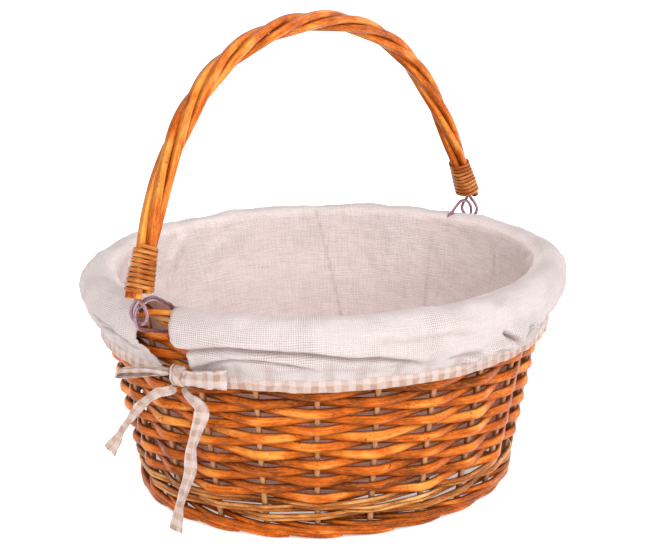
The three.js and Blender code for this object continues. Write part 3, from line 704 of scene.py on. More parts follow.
def bow_points(*route):
    """Points by their distances sideways, outwards and up from the knot's middle, in millimetres."""
    middle, *ways = bow_frame()
    return middle + sum(np.outer(np.asarray(part, float) * MM, way) for part, way in zip(route, ways))


class BASKET_OT_tails(bpy.types.Operator):
    """The loose ends of both bows, as limp flat cords of gingham"""

    bl_idname = "basket.tails"
    bl_label = "Bow tails"

    def execute(self, context):
        out = bow_frame()[2]
        kinds = (("short_tail", SHORT_TAIL, SHORT_WIDTHS, 3), ("long_tail", LONG_TAIL, LONG_WIDTHS, 5))
        for far, end in enumerate(("near", "far")):
            for name, route, widths, seed in kinds:
                rng = np.random.default_rng(seed + far)
                line = curve_through(bow_points(*zip(*route)), 90)
                t = np.linspace(0, 1, len(line))
                half = np.interp(t, *np.array(widths).T)
                twist = 0.8 * drift(rng, t, 0.5) * np.sin(math.pi * np.minimum(t * 1.1, 1))
                flat = unit(np.cross(unit(np.gradient(line, axis=0)), out))
                lean = np.cos(twist)[:, None] * flat + np.sin(twist)[:, None] * out
                bunched = 1.3 * (1 - ease(half, 3, 6.4)) + 0.4
                tail = band(f"{end}_{name}", line, lean, half, bunched, rng, far)
                finish_piece(tail, "basket", "gingham", f"{end}_tie_{name}")
                line = turned(line, far)
        return {"FINISHED"}


def band(name, line, lean, half, bunched, rng, far, closed=False):
    """A strip of gingham along a line: its width leans on a direction, and creases run along it."""
    if closed:
        around = np.vstack([line[-2:], line, line[:2]])
        wide, thick = (rows[2:-2] for rows in directions(around, lean))
    else:
        wide, thick = directions(line, lean)
    n, sides = len(line), 28
    phi = TURN * np.arange(sides) / sides
    x, y = (np.sign(part) * np.abs(part) ** 0.7 for part in (np.cos(phi), np.sin(phi)))
    t = TURN * np.arange(n) / n
    creases = 0
    for k in (2, 4, 6):
        swing = 0.9 * round_drift(rng, t, 3)[:, None] + rng.uniform(0, TURN)
        creases = creases + 1.3 / k * np.sin(k * math.pi / 2 * y + swing)
    offset = (0.55 * x + bunched[:, None] * creases)[..., None] * thick[:, None]
    places = line[:, None] + MM * (offset + (half[:, None] * y)[..., None] * wide[:, None])
    if not closed:
        ragged = rng.uniform(0, 1.6 * MM, sides)[:, None]
        places[-1] += ragged * unit(line[-1] - line[-2])
    piece = tube_piece(name, turned(places, far), gingham("beige_gingham"), closed)
    grain = np.zeros((n, sides, 3))
    grain[..., 0] = run_along(line)[:, None]
    grain[..., 2] = 7.2 * MM * y
    store(piece.data, "grain", grain.reshape(-1, 3))
    return piece


class BASKET_OT_weavers(bpy.types.Operator):
    """One rod to each round of the wall, outside one stake and behind the next"""

    bl_idname = "basket.weavers"
    bl_label = "Weavers"

    def execute(self, context):
        wall = context.scene.basket_wall
        rng = np.random.default_rng(11)
        for row in range(wall.rows):
            first = (5 * row + 3) % wall.stakes
            stake, theta = once_round(first + (first + row + 1) % 2)
            outside = (stake + row) % 2 == 0
            thick = 1 + rng.uniform(-0.07, 0.07)
            out = np.where(outside, wall.weaver_reach + 0.7 * MM, -wall.weaver_reach - 0.4 * MM)
            z = wall.rows_bottom + (row + 0.5) * wall.row_pitch
            z = z + 0.5 * MM * drift(rng, stake, 5) + rng.uniform(-0.3, 0.3, len(stake)) * MM
            tall = np.where(outside, wall.weaver_crest, wall.weaver_neck) * thick
            tall = rounded(tall * rng.uniform(0.93, 1.07, len(stake)), PER_STAKE, 8)
            tint = rng.uniform(-1, 1) + 0.7 * drift(rng, np.linspace(0, wall.stakes, len(tall)), 6)
            rods = Rods()
            rods.weave(theta, out, z, wall.weaver_thick / 2 * thick, tall, tint,
                       rounded(~outside, PER_STAKE, 8), start=row * 3.7)
            number = f"{row + 1:02d}"
            rods.sweep("weaver_" + number, red_willow(), "willow" if row % 3 else "pale_willow",
                       "weaver_row_" + number, bumps=0.16)
        return {"FINISHED"}


class BASKET_OT_waling(bpy.types.Operator):
    """Thin pale rods under the rows, twice round, over two stakes and behind one"""

    bl_idname = "basket.waling"
    bl_label = "Waling"

    def execute(self, context):
        wall = context.scene.basket_wall
        rng = np.random.default_rng(23)
        honey = willow("honey_willow", light=-0.04, under=0.65, deep=(0.12, 0.026, 0.006),
                       mid=(0.39, 0.112, 0.018), pale=(0.76, 0.41, 0.15))
        for rod in range(3):
            stake, theta = once_round((-rod) % 3 + 3 * (5 * rod + 2))
            inside, late = (stake + rod) % 3 == 0, (stake + rod) % 3 == 2
            rods = Rods()
            for lap in (-1, 1):
                thick = wall.wale_strand * rng.uniform(0.94, 1.06)
                reach = wall.stake_radius + 0.4 * MM + thick / 2
                z = wall.wale_bottom + (rod + 0.5 + 0.27 * lap) * wall.wale_pitch
                z = z + np.where(inside, 0, np.where(late, 1.5, -1.5)) * MM
                z = z + rng.uniform(-0.4, 0.4, len(stake)) * MM
                out = np.where(inside, -reach, reach + np.where(late, 0.9, 0.1) * MM)
                behind = rounded(inside, PER_STAKE, 8)
                around = np.linspace(0, wall.stakes, len(behind))
                tint = rng.uniform(-0.9, 0.9) + 0.7 * drift(rng, around, 5)
                half = thick / 2 * (1 + 0.09 * drift(rng, around, 7))
                rods.weave(theta, out, z, half, half * 1.04, tint, behind, passes=(6, 3),
                           start=50 + 3 * rod + lap)
            rods.sweep(f"waling_{rod + 1}", honey, "pale_willow", f"waling_rod_{rod + 1}", bumps=0.12)
        return {"FINISHED"}


class BASKET_OT_borders(bpy.types.Operator):
    """The foot's overlapping strands, and the rim's two rods under the cloth"""

    bl_idname = "basket.borders"
    bl_label = "Borders"

    def execute(self, context):
        wall = context.scene.basket_wall
        rng = np.random.default_rng(31)
        strands = Rods()
        half = wall.foot_thick / 2
        # a strand's way by stakes passed, share of its reach off the stakes, and height
        stations, reaches, heights = np.array([
            (-0.75, -1, 13.4), (-0.25, -1.02, 12.4), (0, -0.95, 11.6), (0.5, 0.1, 10.9),
            (1, 1.04, 10), (2, 1.06, 6.35), (3, 1.04, 2.6), (3.45, 0.85, 2.4)]).T
        out = reaches * (wall.stake_radius + 0.4 * MM + half)
        for stake in range(wall.stakes):
            theta = TURN * (stake + 0.5 + stations) / wall.stakes
            z = (heights + rng.uniform(-0.2, 0.2, len(stations)) * (heights > 4)) * MM
            centre = rounded(wall_point(theta, out, z), PER_STAKE, 10)
            t = np.linspace(0, 1, len(centre))
            taper = half * rng.uniform(0.94, 1.0) * (0.8 + 0.2 * ease(t, 0, 0.3))
            taper = taper * (1 - 0.35 * ease(t, 0.93, 1))
            lean = outward(rounded(theta, PER_STAKE, 2), centre[:, 2])
            # the start of each strand lies under the others and gets painted shade through behind
            strands.add(centre, lean, taper, taper * 0.94, rng.uniform(-1, 1),
                        0.6 * (1 - ease(t, 0.2, 0.45)))
        strands.sweep("foot_border_strands", willow("brown_willow", light=-0.2, roughness=0.36),
                      "dark_willow", "foot_border_rod_1", "foot_border_rod_2", bumps=0.14)

        # the rim's rods pass a stake and a gap in turn, over and under the stakes' laid tops
        thin, gap, steps = 2.3 * MM, 0.45 * MM, 8
        radius = wall.stake_radius + gap + thin
        # a straight run from place to place cuts inside the oval's curve by the last term
        reach = radius + wall.rim_half_y * (1 - math.cos(math.pi / 48))
        for pair in (0, 1):
            k = np.arange(2 * wall.stakes + 1) + 10 * pair
            quarter = (k + 2 * pair) % 4
            out = np.where((quarter == 0) | (quarter == 3), reach, -reach)
            theta = TURN * (k + 1.5) / (2 * wall.stakes)
            theta[-1] -= END_GAP
            z = wall.rim_height + radius * np.where(quarter < 2, 1, -1)
            along = np.linspace(0, wall.stakes, steps * (len(k) - 1) + 1)
            tint = rng.uniform(-0.5, 0.8) + 0.5 * drift(rng, along, 5)
            rods = Rods()
            rods.weave(theta, out, z, thin, thin, tint, steps=steps, passes=(4, 2), start=70 + pair)
            rods.sweep(f"rim_border_{pair + 1}", red_willow(), "dark_willow",
                       f"rim_border_rod_{pair + 1}", sides=10, bumps=0.12)
        return {"FINISHED"}


class BASKET_OT_stakes(bpy.types.Operator):
    """Upright stakes, with their tops laid down along the rim"""

    bl_idname = "basket.stakes"
    bl_label = "Stakes"

    def execute(self, context):
        wall = context.scene.basket_wall
        rng = np.random.default_rng(41)
        stakes = Rods()
        z = np.linspace(3.5 * MM, wall.rim_height, 60)
        for stake in range(wall.stakes):
            theta = TURN * (stake + 0.5) / wall.stakes
            out = 0.25 * MM * drift(rng, z, 0.04)
            centre = wall_point(theta + 0.0022 * drift(rng, z, 0.12), out, z)
            size = wall.stake_radius * (1 + 0.06 * drift(rng, z, 0.08))
            stakes.add(centre, outward(theta, z), size, size, rng.uniform(-1, 1))
        around = np.linspace(0, TURN, 240) + 0.02
        stakes.add(wall_point(around, 0, wall.rim_height), outward(around, wall.rim_height),
                   wall.stake_radius, wall.stake_radius, -0.6)
        stakes.sweep("stakes", stake_willow(), "stake_willow", "stakes_and_rim_core", bumps=0.12)
        return {"FINISHED"}


class BASKET_OT_bottom(bpy.types.Operator):
    """Crossed split sticks and the two weavers wound between them"""

    bl_idname = "basket.bottom"
    bl_label = "Bottom"

    def execute(self, context):
        wall = context.scene.basket_wall
        rng = np.random.default_rng(53)
        reach, level = -(wall.stake_radius + 5.5 * MM), wall.bottom_height
        rods = Rods()
        for k in range(6):
            theta = math.pi * (k + 0.5) / 6
            ends = wall_point(np.array([theta, theta + math.pi]), reach, level)
            centre = ends[0] + (ends[1] - ends[0]) * np.linspace(0, 1, 50)[:, None]
            centre[:, 2] += 0.1 * MM * (k - 2.5)
            rods.add(centre, (-math.sin(theta), math.cos(theta), 0), 2.6 * MM, 1.95 * MM,
                     rng.uniform(-1, 1))
        rods.sweep("bottom_cross_sticks", stake_willow(), "stake_willow", "bottom_sticks", fullness=3,
                   bumps=0.1)

        crossings, rounds = 12, 6
        wide, tall, stick, gap = 2.5 * MM, 1.6 * MM, 2 * MM, 0.35 * MM
        rise = stick + gap + tall
        for weaver in (0, 1):
            station = np.arange(2 * crossings * rounds)
            k = station // 2
            scale = 0.27 + 0.73 * (k / crossings + weaver / 2) / rounds / (1 + 1 / (2 * rounds))
            flat = (wide + 2.8 * MM) / (scale * wall_axes(level)[0])
            theta = TURN * (k + 0.5) / crossings + np.where(station % 2, flat, -flat)
            edge = wall_point(theta, reach - wide, level)
            centre = edge * scale[:, None]
            centre[:, 2] = level + np.where((k + weaver) % 2, rise, -rise)
            line = rounded(centre, 5, 5)
            tint = rng.uniform(-0.5, 0.5) + 0.8 * drift(rng, np.linspace(0, 60, len(line)), 9)
            rods = Rods()
            rods.add(line, rounded(edge * [1, 1, 0], 5, 0), wide, tall, tint, start=90 + 20 * weaver)
            rods.sweep(f"bottom_weave_{weaver + 1}", red_willow(), "willow",
                       f"bottom_weaver_{weaver + 1}", sides=10, bumps=0.12)
        return {"FINISHED"}


# The rods' turns by their share of the arch from its near end
TWIST = [(0, 0), (0.08, 0.17), (0.185, 0.355), (0.33, 0.82), (0.92, 2.33), (1, 2.5)]


class Arch:
    """The leaning handle's centre line by the distance from its near end."""

    def __init__(self, far=False):
        self.sizes = handle = bpy.context.scene.basket_handle
        u = np.linspace(-1, 1, 1201)
        drop = handle.roundness * u**2 + (1 - handle.roundness) * np.abs(u) ** 5
        rise = handle.apex_height - handle.end_height
        self.line = np.c_[handle.half_span * u, handle.apex_height - rise * drop]
        self.run = run_along(self.line)
        self.total = self.run[-1]
        self.pivot = handle.end_height - handle.pivot_drop
        # a piece of the far end is made at the near end and turned half round, so it leans back
        lean = math.radians(handle.lean) * (-1 if far else 1)
        self.across = np.array([math.cos(lean), 0, math.sin(lean)])
        self.above = np.array([-math.sin(lean), 0, math.cos(lean)])

    def place(self, x, y, z):
        """A point given in the upright handle's plane, leaned about the hinge line."""
        x, y, z = (np.asarray(value, float)[..., None] for value in (x, y, z))
        return x * self.across + y * [0, 1, 0] + (z - self.pivot) * self.above + [0, 0, self.pivot]

    def point(self, distance, x, lift):
        """A point beside the centre line: x is level, lift is square to the line and upwards."""
        rows = np.hstack([self.line, np.gradient(self.line, self.run, axis=0)]).T
        y, z, dy, dz = (np.interp(distance, self.run, row) for row in rows)
        return self.place(x, y - dz * lift, z + dy * lift)

    def twist(self, distance):
        return TURN * np.interp(distance / self.total, *np.array(TWIST, float).T)

    def narrowing(self, distance):
        """0 in the bindings, where the rods stand apart, and 1 over the arch."""
        near = np.minimum(distance, self.total - distance)
        return ease(near, self.sizes.spread, self.sizes.neck)

    def orbit(self, distance):
        change = self.sizes.orbit - self.sizes.end_orbit
        return self.sizes.end_orbit + change * self.narrowing(distance)

    def radius(self, distance):
        change = self.sizes.rod_radius - self.sizes.rod_end_radius
        return self.sizes.rod_end_radius + change * self.narrowing(distance)


class BASKET_OT_handle_rods(bpy.types.Operator):
    """Four willow rods twisted round each other over the arch"""

    bl_idname = "basket.handle_rods"
    bl_label = "Handle rods"

    def execute(self, context):
        arch, handle = Arch(), context.scene.basket_handle
        rng = np.random.default_rng(61)
        varnished = willow("handle_willow", light=-0.03, stain=0.5, roughness=0.26, gloss=0.12)
        for rod in range(4):
            # two rods reach down past the binding at each end, and the other two stop in it
            first, last = (0, handle.stub) if rod < 2 else (handle.stub, 0)
            d = np.linspace(first, arch.total - last, 300)
            angle = TURN * (rod + 0.5) / 4 + arch.twist(d)
            orbit = arch.orbit(d) * (1 + 0.05 * drift(rng, d, 0.2) * arch.narrowing(d))
            size = arch.radius(d) * (1 + 0.05 * drift(rng, d, 0.15) * arch.narrowing(d))
            tint = rng.uniform(-0.2, 0.6) + 0.5 * drift(rng, d, 0.16)
            # painted highlight: the near third of each rod is made paler
            tint = tint + 0.9 * (1 - ease(d / arch.total, 0.1, 0.5))
            rods = Rods()
            rods.add(arch.point(d, orbit * np.cos(angle), orbit * np.sin(angle)), arch.across, size,
                     size, tint, start=130 + 5 * rod)
            rods.sweep(f"handle_willow_{rod + 1}", varnished, "willow" if rod % 2 else "pale_willow",
                       f"handle_rod_{rod + 1}", body="handle", sides=20, bumps=0.1, bump_length=0.02)
        return {"FINISHED"}


class BASKET_OT_bindings(bpy.types.Operator):
    """Flat cane wound round both ends of the handle"""

    bl_idname = "basket.bindings"
    bl_label = "Cane bindings"

    def execute(self, context):
        handle = context.scene.basket_handle
        cane = willow("cane", light=0.02, flecks=0.25, deep=(0.17, 0.032, 0.006),
                      mid=(0.37, 0.088, 0.012), pale=(0.74, 0.34, 0.095), roughness=0.24, gloss=0.16)
        steps, on_rod = 48, 0.75
        for far, end in enumerate(("near", "far")):
            arch = Arch(far)
            rng = np.random.default_rng(71 + far)
            k = np.arange(handle.binding_turns * steps + 1)
            corner, within = np.divmod((k % steps) / steps * 4, 1)
            # most of each quarter turn goes round a rod, and the rest spans to the next
            d = handle.stub + handle.binding_pitch * k / steps
            angle = math.pi / 2 * (corner + np.minimum(within / on_rod, 1)) + arch.twist(d)
            home = math.pi / 2 * (corner + 0.5 + ease(within, on_rod, 1)) + arch.twist(d)
            flare = 1 + 0.3 * (1 - ease(d, handle.stub, handle.stub + handle.binding_pitch))
            bend = arch.radius(d) + 0.95 * MM * flare
            x = arch.orbit(d) * np.cos(home) + bend * np.cos(angle)
            up = arch.orbit(d) * np.sin(home) + bend * np.sin(angle)
            line = rounded(arch.point(d, x, up), 1, 3)
            rods = Rods(far)
            rods.add(line, line - arch.point(d, 0, 0), 0.75 * MM, 1.46 * MM,
                     0.35 * drift(rng, d, 0.02), start=170)
            rods.sweep(f"cane_binding_{end}", cane, "pale_willow", f"handle_binding_{end}",
                       body="handle", fullness=3.2, bumps=0.08, bump_length=0.01)
        return {"FINISHED"}


# The rim ring's route in its plane, distance out and height in millimetres
RING = [
    (184.1, 165.8), (184.4, 177), (186.4, 182.8), (190.8, 185.4), (197, 189.2), (204.5, 193),
    (211, 193.1), (216, 191.6), (219.8, 189.2), (223.2, 184.8), (223.6, 179.2), (221, 173.6),
    (214.5, 170.2), (206.9, 168.2), (200, 165.8), (193.4, 164), (186.4, 163.4),
]


class BASKET_OT_wires(bpy.types.Operator):
    """The wire eye in each end of the handle and the ring that links it to the rim"""

    bl_idname = "basket.wires"
    bl_label = "Wires"

    def execute(self, context):
        handle = context.scene.basket_handle
        wire, radius = wire_finish("mauve_wire"), handle.wire_radius
        core, wide, span = handle.eye_core, handle.eye_half_width, handle.half_span
        for far, end in enumerate(("near", "far")):
            arch = Arch(far)
            bend_z = arch.pivot - handle.eye_depth + wide
            legs = arch.point(np.array([12, 6, 0.5]) * MM, core, 0)
            down = arch.place([core + 0.6 * MM, 0.72 * wide], -span,
                              [handle.end_height - 1.2 * MM, (bend_z + handle.end_height) / 2])
            angle = np.linspace(0, -math.pi, 25)
            bend = arch.place(wide * np.cos(angle), -span, bend_z + wide * np.sin(angle))
            side = np.vstack([legs, down])
            other = side - 2 * np.outer(side @ arch.across - arch.pivot * arch.across[2], arch.across)
            eye = Rods(far)
            eye.add(rounded(np.vstack([side, bend, other[::-1]]), 5, 4), (0, 1, 0), radius, radius)
            eye.sweep(f"wire_eye_{end}", wire, "wire", f"handle_wire_eye_{end}", body="handle",
                      sides=16, fullness=2)

            loop = np.array([(0, -y, z) for y, z in RING]) * MM
            path = turned(curve_through(np.vstack([loop, loop[:1]]), 97)[:-1], far)
            up = np.cross(unit(np.roll(path, -1, 0) - np.roll(path, 1, 0)), (1, 0, 0))
            angle = TURN * np.arange(16)[:, None] / 16
            section = np.cos(angle) * [1, 0, 0] + np.sin(angle) * up[:, None]
            ring = tube_piece(f"wire_ring_{end}", path[:, None] + radius * section, wire, True)
            finish_piece(ring, "basket", "wire", f"rim_wire_ring_{end}")
        return {"FINISHED"}


# How far the edges of the slits stand from the handle's plane, by height, in millimetres
SLIT_RIGHT = [(187, 10), (180, 14), (171, 15.5), (163, 16), (159, 19), (156, 25.5), (148, 25.5),
              (137, 23.5)]
SLIT_LEFT = [(187, -13), (181, -15.5), (165, -17.5), (157, -21.5), (152, -20.5), (149, -12),
             (142, -10), (137, -6)]
FAR_SLIT = [(187, 2.4), (181, 3.2), (171, 7), (158, 15), (150, 19), (137, 21)]
# The lining from the foot of its side up over the rim and down: out from the stakes, and height
INNER = [(-9.6, 34), (-9.5, 60), (-9.5, 90), (-9.5, 120), (-9.5, 150), (-9.6, 168)]
OVER = [(-9.9, 174), (-9.8, 178.5), (-8.2, 181.8), (-4.5, 184), (0.5, 184.8), (6, 184.0),
        (11, 181.4), (15, 177.2), (17.6, 172), (18.4, 167), (17.8, 162.4), (16.9, 158.4),
        (16.3, 154.5), (14.9, 150), (12.8, 145.6), (10.9, 141.6), (9.6, 138.4), (9.3, 135.6)]
# Seams inside the bag: angle at the rim and at the bottom, in degrees
SEAMS = [(94.3, 94.8), (132.8, 121), (274.3, 274.8), (312.8, 301)]
# Creases of the flaps: points at angles in degrees and heights, depth, half width, and lip's share
CREASES = [
    ([(271, 154), (279, 156.6), (284, 160.6), (289, 163.5), (297, 163.1), (305, 161), (314.5, 155.3),
      (321, 154.4), (329, 148.7), (335, 141)], 3.6, 2.3, 0.45),
    ([(277, 137), (280.6, 142.6), (284.6, 149.3), (288.4, 153.4), (293, 155), (296.4, 154.8),
      (301, 152.2), (309, 146)], 2.4, 1.7, 0.5),
    ([(342, 136), (344.5, 140), (347, 143.4), (350, 144.8), (353, 143.6), (355.4, 140), (356.6, 135)],
     5.2, 2.0, 0.7),
    ([(351.5, 160), (353, 155), (355.8, 150), (358.2, 143), (359.4, 135)], 4.4, 2.0, 0.6),
    ([(361.5, 157), (362.6, 149), (362, 136)], 4.2, 1.8, 0.6),
    ([(366.5, 152), (366, 144), (367.5, 136)], 3.6, 1.7, 0.6),
    ([(371, 150), (371.6, 143), (370.6, 136)], 3.0, 1.6, 0.5),
    ([(337, 146), (341, 148), (346, 147)], 1.8, 2.0, 0.5),
    ([(318, 170), (326, 166), (336, 168), (344, 163)], 1.2, 3.0, 0.5),
    ([(24, 150), (31, 156), (40, 158), (52, 153)], 2.6, 2.4, 0.5),
    ([(56, 163), (64, 158), (74, 157), (82, 150)], 2.4, 2.4, 0.5),
    ([(242, 149), (250, 153), (257, 151), (263, 146)], 2.0, 2.0, 0.5),
]
# Creases of the bag's inside, in the same way: points, depth and half width
INNER_CREASES = [
    ([(4, 178), (9, 164), (12, 146), (13, 128)], 1.8, 3.2),
    ([(20, 176), (19, 160), (23, 140)], 1.6, 3.4),
    ([(38, 179), (44, 165), (46, 150)], 1.5, 3.4),
    ([(60, 178), (66, 160), (64, 138)], 1.0, 4.0),
    ([(112, 176), (108, 156), (111, 130)], 0.9, 4.2),
    ([(152, 178), (160, 164), (172, 156)], 1.6, 3.6),
    ([(176, 178), (184, 160), (188, 142)], 1.7, 3.4),
    ([(205, 177), (209, 158), (207, 140)], 1.4, 3.6),
]


def lining_half(far, rng):
    """One half of the lining's side and flap: angles by row and column, and the rows' profile."""
    inner = curve_through([(out, z, 0) for out, z in INNER + OVER[:1]], 26)[:-1]
    over = curve_through([(out, z, 0) for out, z in OVER], 84)
    out, z, _ = np.vstack([inner, over]).T
    split = int(np.argmax(z > 181.2))
    free = ease(np.arange(len(z)), split - 1, split + 5)

    def edge(outline, ragged):
        offset = np.interp(z, *np.array(outline, float)[::-1].T) + ragged * rng.uniform(-1, 1, len(z))
        return free * np.arcsin(offset * MM / bpy.context.scene.basket_wall.rim_half_x)

    if far:
        start, end = edge(FAR_SLIT, 0.3), edge(SLIT_LEFT, 0.9)
    else:
        start, end = edge(SLIT_RIGHT, 0.3), edge([(h, -x) for h, x in FAR_SLIT], 0.3)
    theta = np.linspace(start - math.pi / 2, end + math.pi / 2, 190, axis=1)
    return theta, out[:, None], z[:, None]


def off_line(line, around, z):
    """Distance above a line drawn on the cloth, in millimetres, and its share from end to end.

    The line's points are angles in degrees and heights. Beside a steep line, above is its left.
    """
    per_degree = 3.2
    s = (around - line[0][0] + 180) % 360 - 180
    places = np.array([((angle - line[0][0]) * per_degree, height) for angle, height in line])
    run = run_along(places)
    best = np.full(around.shape, np.inf)
    above, share = np.zeros_like(best), np.zeros_like(best)
    for k, (a, b) in enumerate(zip(places, places[1:])):
        (x, y), size = b - a, run[k + 1] - run[k]
        dx, dz = s * per_degree - a[0], z - a[1]
        t = np.clip((dx * x + dz * y) / size**2, 0, 1)
        gap = np.hypot(dx - t * x, dz - t * y)
        nearer = gap < best
        best = np.where(nearer, gap, best)
        above = np.where(nearer, np.where(x * dz > y * dx, gap, -gap), above)
        share = np.where(nearer, (run[k] + t * size) / run[-1], share)
    return above, share


def bump_curve(distance, width):
    return np.exp(-((distance / width) ** 2))


def folds(out, z, around):
    """Bends the smooth lining: creases along the flaps, gathers at the casing, ripples inside."""
    rng = np.random.default_rng(81)
    angle = np.radians(around)
    over = ease(out, 2, 14)
    outside = (out > 5) & (z < 181)
    inside = out < -8.5
    low = ease(-z, -158, -140)
    out = out + over * (1.7 * round_drift(rng, angle, 6) - 0.8)
    out = out + over * 0.7 * round_drift(rng, angle + z * 0.006, 17)
    out = out + over * 0.35 * round_drift(rng, angle - z * 0.012, 41)
    crest = ease(out, -8.5, -2) * (1 - ease(out, 8, 15))
    z = z + crest * (1.3 * round_drift(rng, angle, 10) + 0.5 * round_drift(rng, angle, 27))
    pouch = bump_curve((around + 185) % 360 - 180, 15)
    out = out + 4.2 * outside * pouch * ease(-z, -162, -149) * ease(z, 136, 141)
    hollow = np.zeros_like(out)
    for line, depth, width, lip in CREASES:
        for turn in (0, 180):
            above, share = off_line(line, around - turn, z)
            ends = ease(share, 0, 0.14) * (1 - ease(share, 0.86, 1))
            dent = bump_curve(above, width)
            raised = lip * bump_curve(above - 2.2 * width, 1.5 * width)
            amount = ease(out, 4, 10) * ends * depth
            out = out + 1.5 * amount * (raised - dent)
            z = z - 0.5 * amount * raised
            # hollow marks each crease's dent, for painted shade
            hollow = np.maximum(hollow, np.minimum(amount / 4, 1) * dent)
    for line, depth, width in INNER_CREASES:
        above, share = off_line(line, around, z)
        ends = ease(share, 0, 0.3) * (1 - ease(share, 0.7, 1))
        bend = bump_curve(above, width) - 0.6 * bump_curve(above - 2 * width, width)
        out = out - 1.6 * inside * ends * depth * np.clip(bend + 0.35, 0, 2)
    gather = 0.55 * np.sin(46 * angle + 2.4 * round_drift(rng, angle, 5))
    gather += 0.45 * np.sin(83 * angle + 3 * round_drift(rng, angle, 7))
    out = out + low * outside * ease(out, 8.5, 12) * gather * 1.9
    out = out - inside * ease(z, 40, 60) * (0.5 + 0.5 * round_drift(rng, angle, 12)) * 0.9
    # and the troughs of the gathers, for painted shade
    hollow = np.maximum(hollow, 0.6 * low * outside * ease(-gather, 0.1, 0.8))
    return np.where(outside, np.maximum(out, 9.0), out), z, hollow


class BASKET_OT_lining(bpy.types.Operator):
    """The linen bag with both flaps turned out over the rim"""

    bl_idname = "basket.lining"
    bl_label = "Lining"

    def execute(self, context):
        lining = context.scene.basket_lining
        rng = np.random.default_rng(83)
        halves, column = [], 80
        for far in (0, 1):
            theta, out, z = lining_half(far, rng)
            around = np.degrees(theta) + 180 * far
            out, height, dented = folds(out, z, around)
            points = turned(wall_point(theta, out * MM, height * MM), far)
            # metres of cloth round the wall, and down it as measured along one column
            round_wall = LINING_ROUND * np.radians(around)
            down = MM * run_along(np.c_[out[:, column], z])
            cloth = np.stack(np.broadcast_arrays(round_wall, down[:, None], 0.0), -1)
            mark = np.zeros_like(around)
            for top, low in SEAMS:
                at = top + (low - top) * np.clip((178 - height) / 145, 0, 1)
                beside = np.radians(np.abs((around - at + 180) % 360 - 180)) * 170
                mark = np.maximum(mark, bump_curve(beside, 0.9) * (out < -8))
            # the same quads as a grid's, but wound the other way
            quads = grid_quads(*theta.shape)[:, [0, 3, 2, 1]] + far * theta.size
            halves.append((points.reshape(-1, 3), quads, cloth.reshape(-1, 3), mark.ravel(),
                           ease(-out, 2, 9).ravel(), dented.ravel()))
        places, quads, grain, seam, inside, hollow = (np.concatenate(rows) for rows in zip(*halves))
        mesh = bpy.data.meshes.new("linen_lining")
        mesh.from_pydata(places.tolist(), [], quads.tolist())
        corners = np.empty(len(mesh.loops), int)
        mesh.loops.foreach_get("vertex_index", corners)
        store(mesh, "grain", grain[corners], "CORNER")
        for name, values in (("seam", seam), ("inside", inside), ("hollow", hollow)):
            store(mesh, name, values)
        mesh.materials.append(linen("coarse_linen"))
        # the sheet's second skin wears a warmer, more translucent copy of the linen: painted light for
        # the glow through the cloth
        mesh.materials.append(linen("linen_underside", through=0.8, warmth=(1.0, 0.83, 0.75)))
        sew_bottom(mesh, lining.floor_height)
        mesh.shade_smooth()
        piece = new_piece("linen_lining", mesh)
        cloth = piece.modifiers.new("Cloth", "SOLIDIFY")
        cloth.thickness, cloth.offset, cloth.material_offset = lining.cloth, 0, 1
        finish_piece(piece, "basket", "linen", "lining_side_panel", "lining_bottom_panel",
                     "lining_flap_east", "lining_flap_west")
        return {"FINISHED"}


def sew_bottom(data, level):
    """Closes the bag with a bottom inside its lowest ring and joins the halves where they meet."""
    mesh = bmesh.new()
    mesh.from_mesh(data)
    bmesh.ops.remove_doubles(mesh, verts=mesh.verts, dist=1e-5)
    low = min(v.co.z for v in mesh.verts)
    rim = [e for e in mesh.edges if e.is_boundary and max(v.co.z for v in e.verts) < low + 1e-4]
    grain = mesh.loops.layers.float_vector["grain"]

    def lay_grain(faces):
        for face in faces:
            for loop in face.loops:
                loop[grain] = loop.vert.co

    a, b = wall_axes(level)
    for size in (0.985, 0.955, 0.8, 0.6, 0.4, 0.2, 0.05):
        new = bmesh.ops.extrude_edge_only(mesh, edges=rim)["geom"]
        for v in (g for g in new if isinstance(g, bmesh.types.BMVert)):
            theta = math.atan2(v.co.y / b, v.co.x / a)
            v.co = wall_point(theta, INNER[0][0] * MM, level) * [size, size, 1]
        lay_grain(g for g in new if isinstance(g, bmesh.types.BMFace))
        rim = [g for g in new if isinstance(g, bmesh.types.BMEdge) and g.is_boundary]
    lay_grain(bmesh.ops.contextual_create(mesh, geom=rim)["faces"])
    bmesh.ops.recalc_face_normals(mesh, faces=mesh.faces)
    # an extrusion's parts come in another order each run, so all are put in order of place
    place = lambda part: sum((v.co for v in getattr(part, "verts", [part])), Vector())[:]
    for parts in (mesh.verts, mesh.edges, mesh.faces):
        rank = {part: k for k, part in enumerate(sorted(parts, key=place))}
        parts.sort(key=rank.get)
    mesh.to_mesh(data)
    mesh.free()


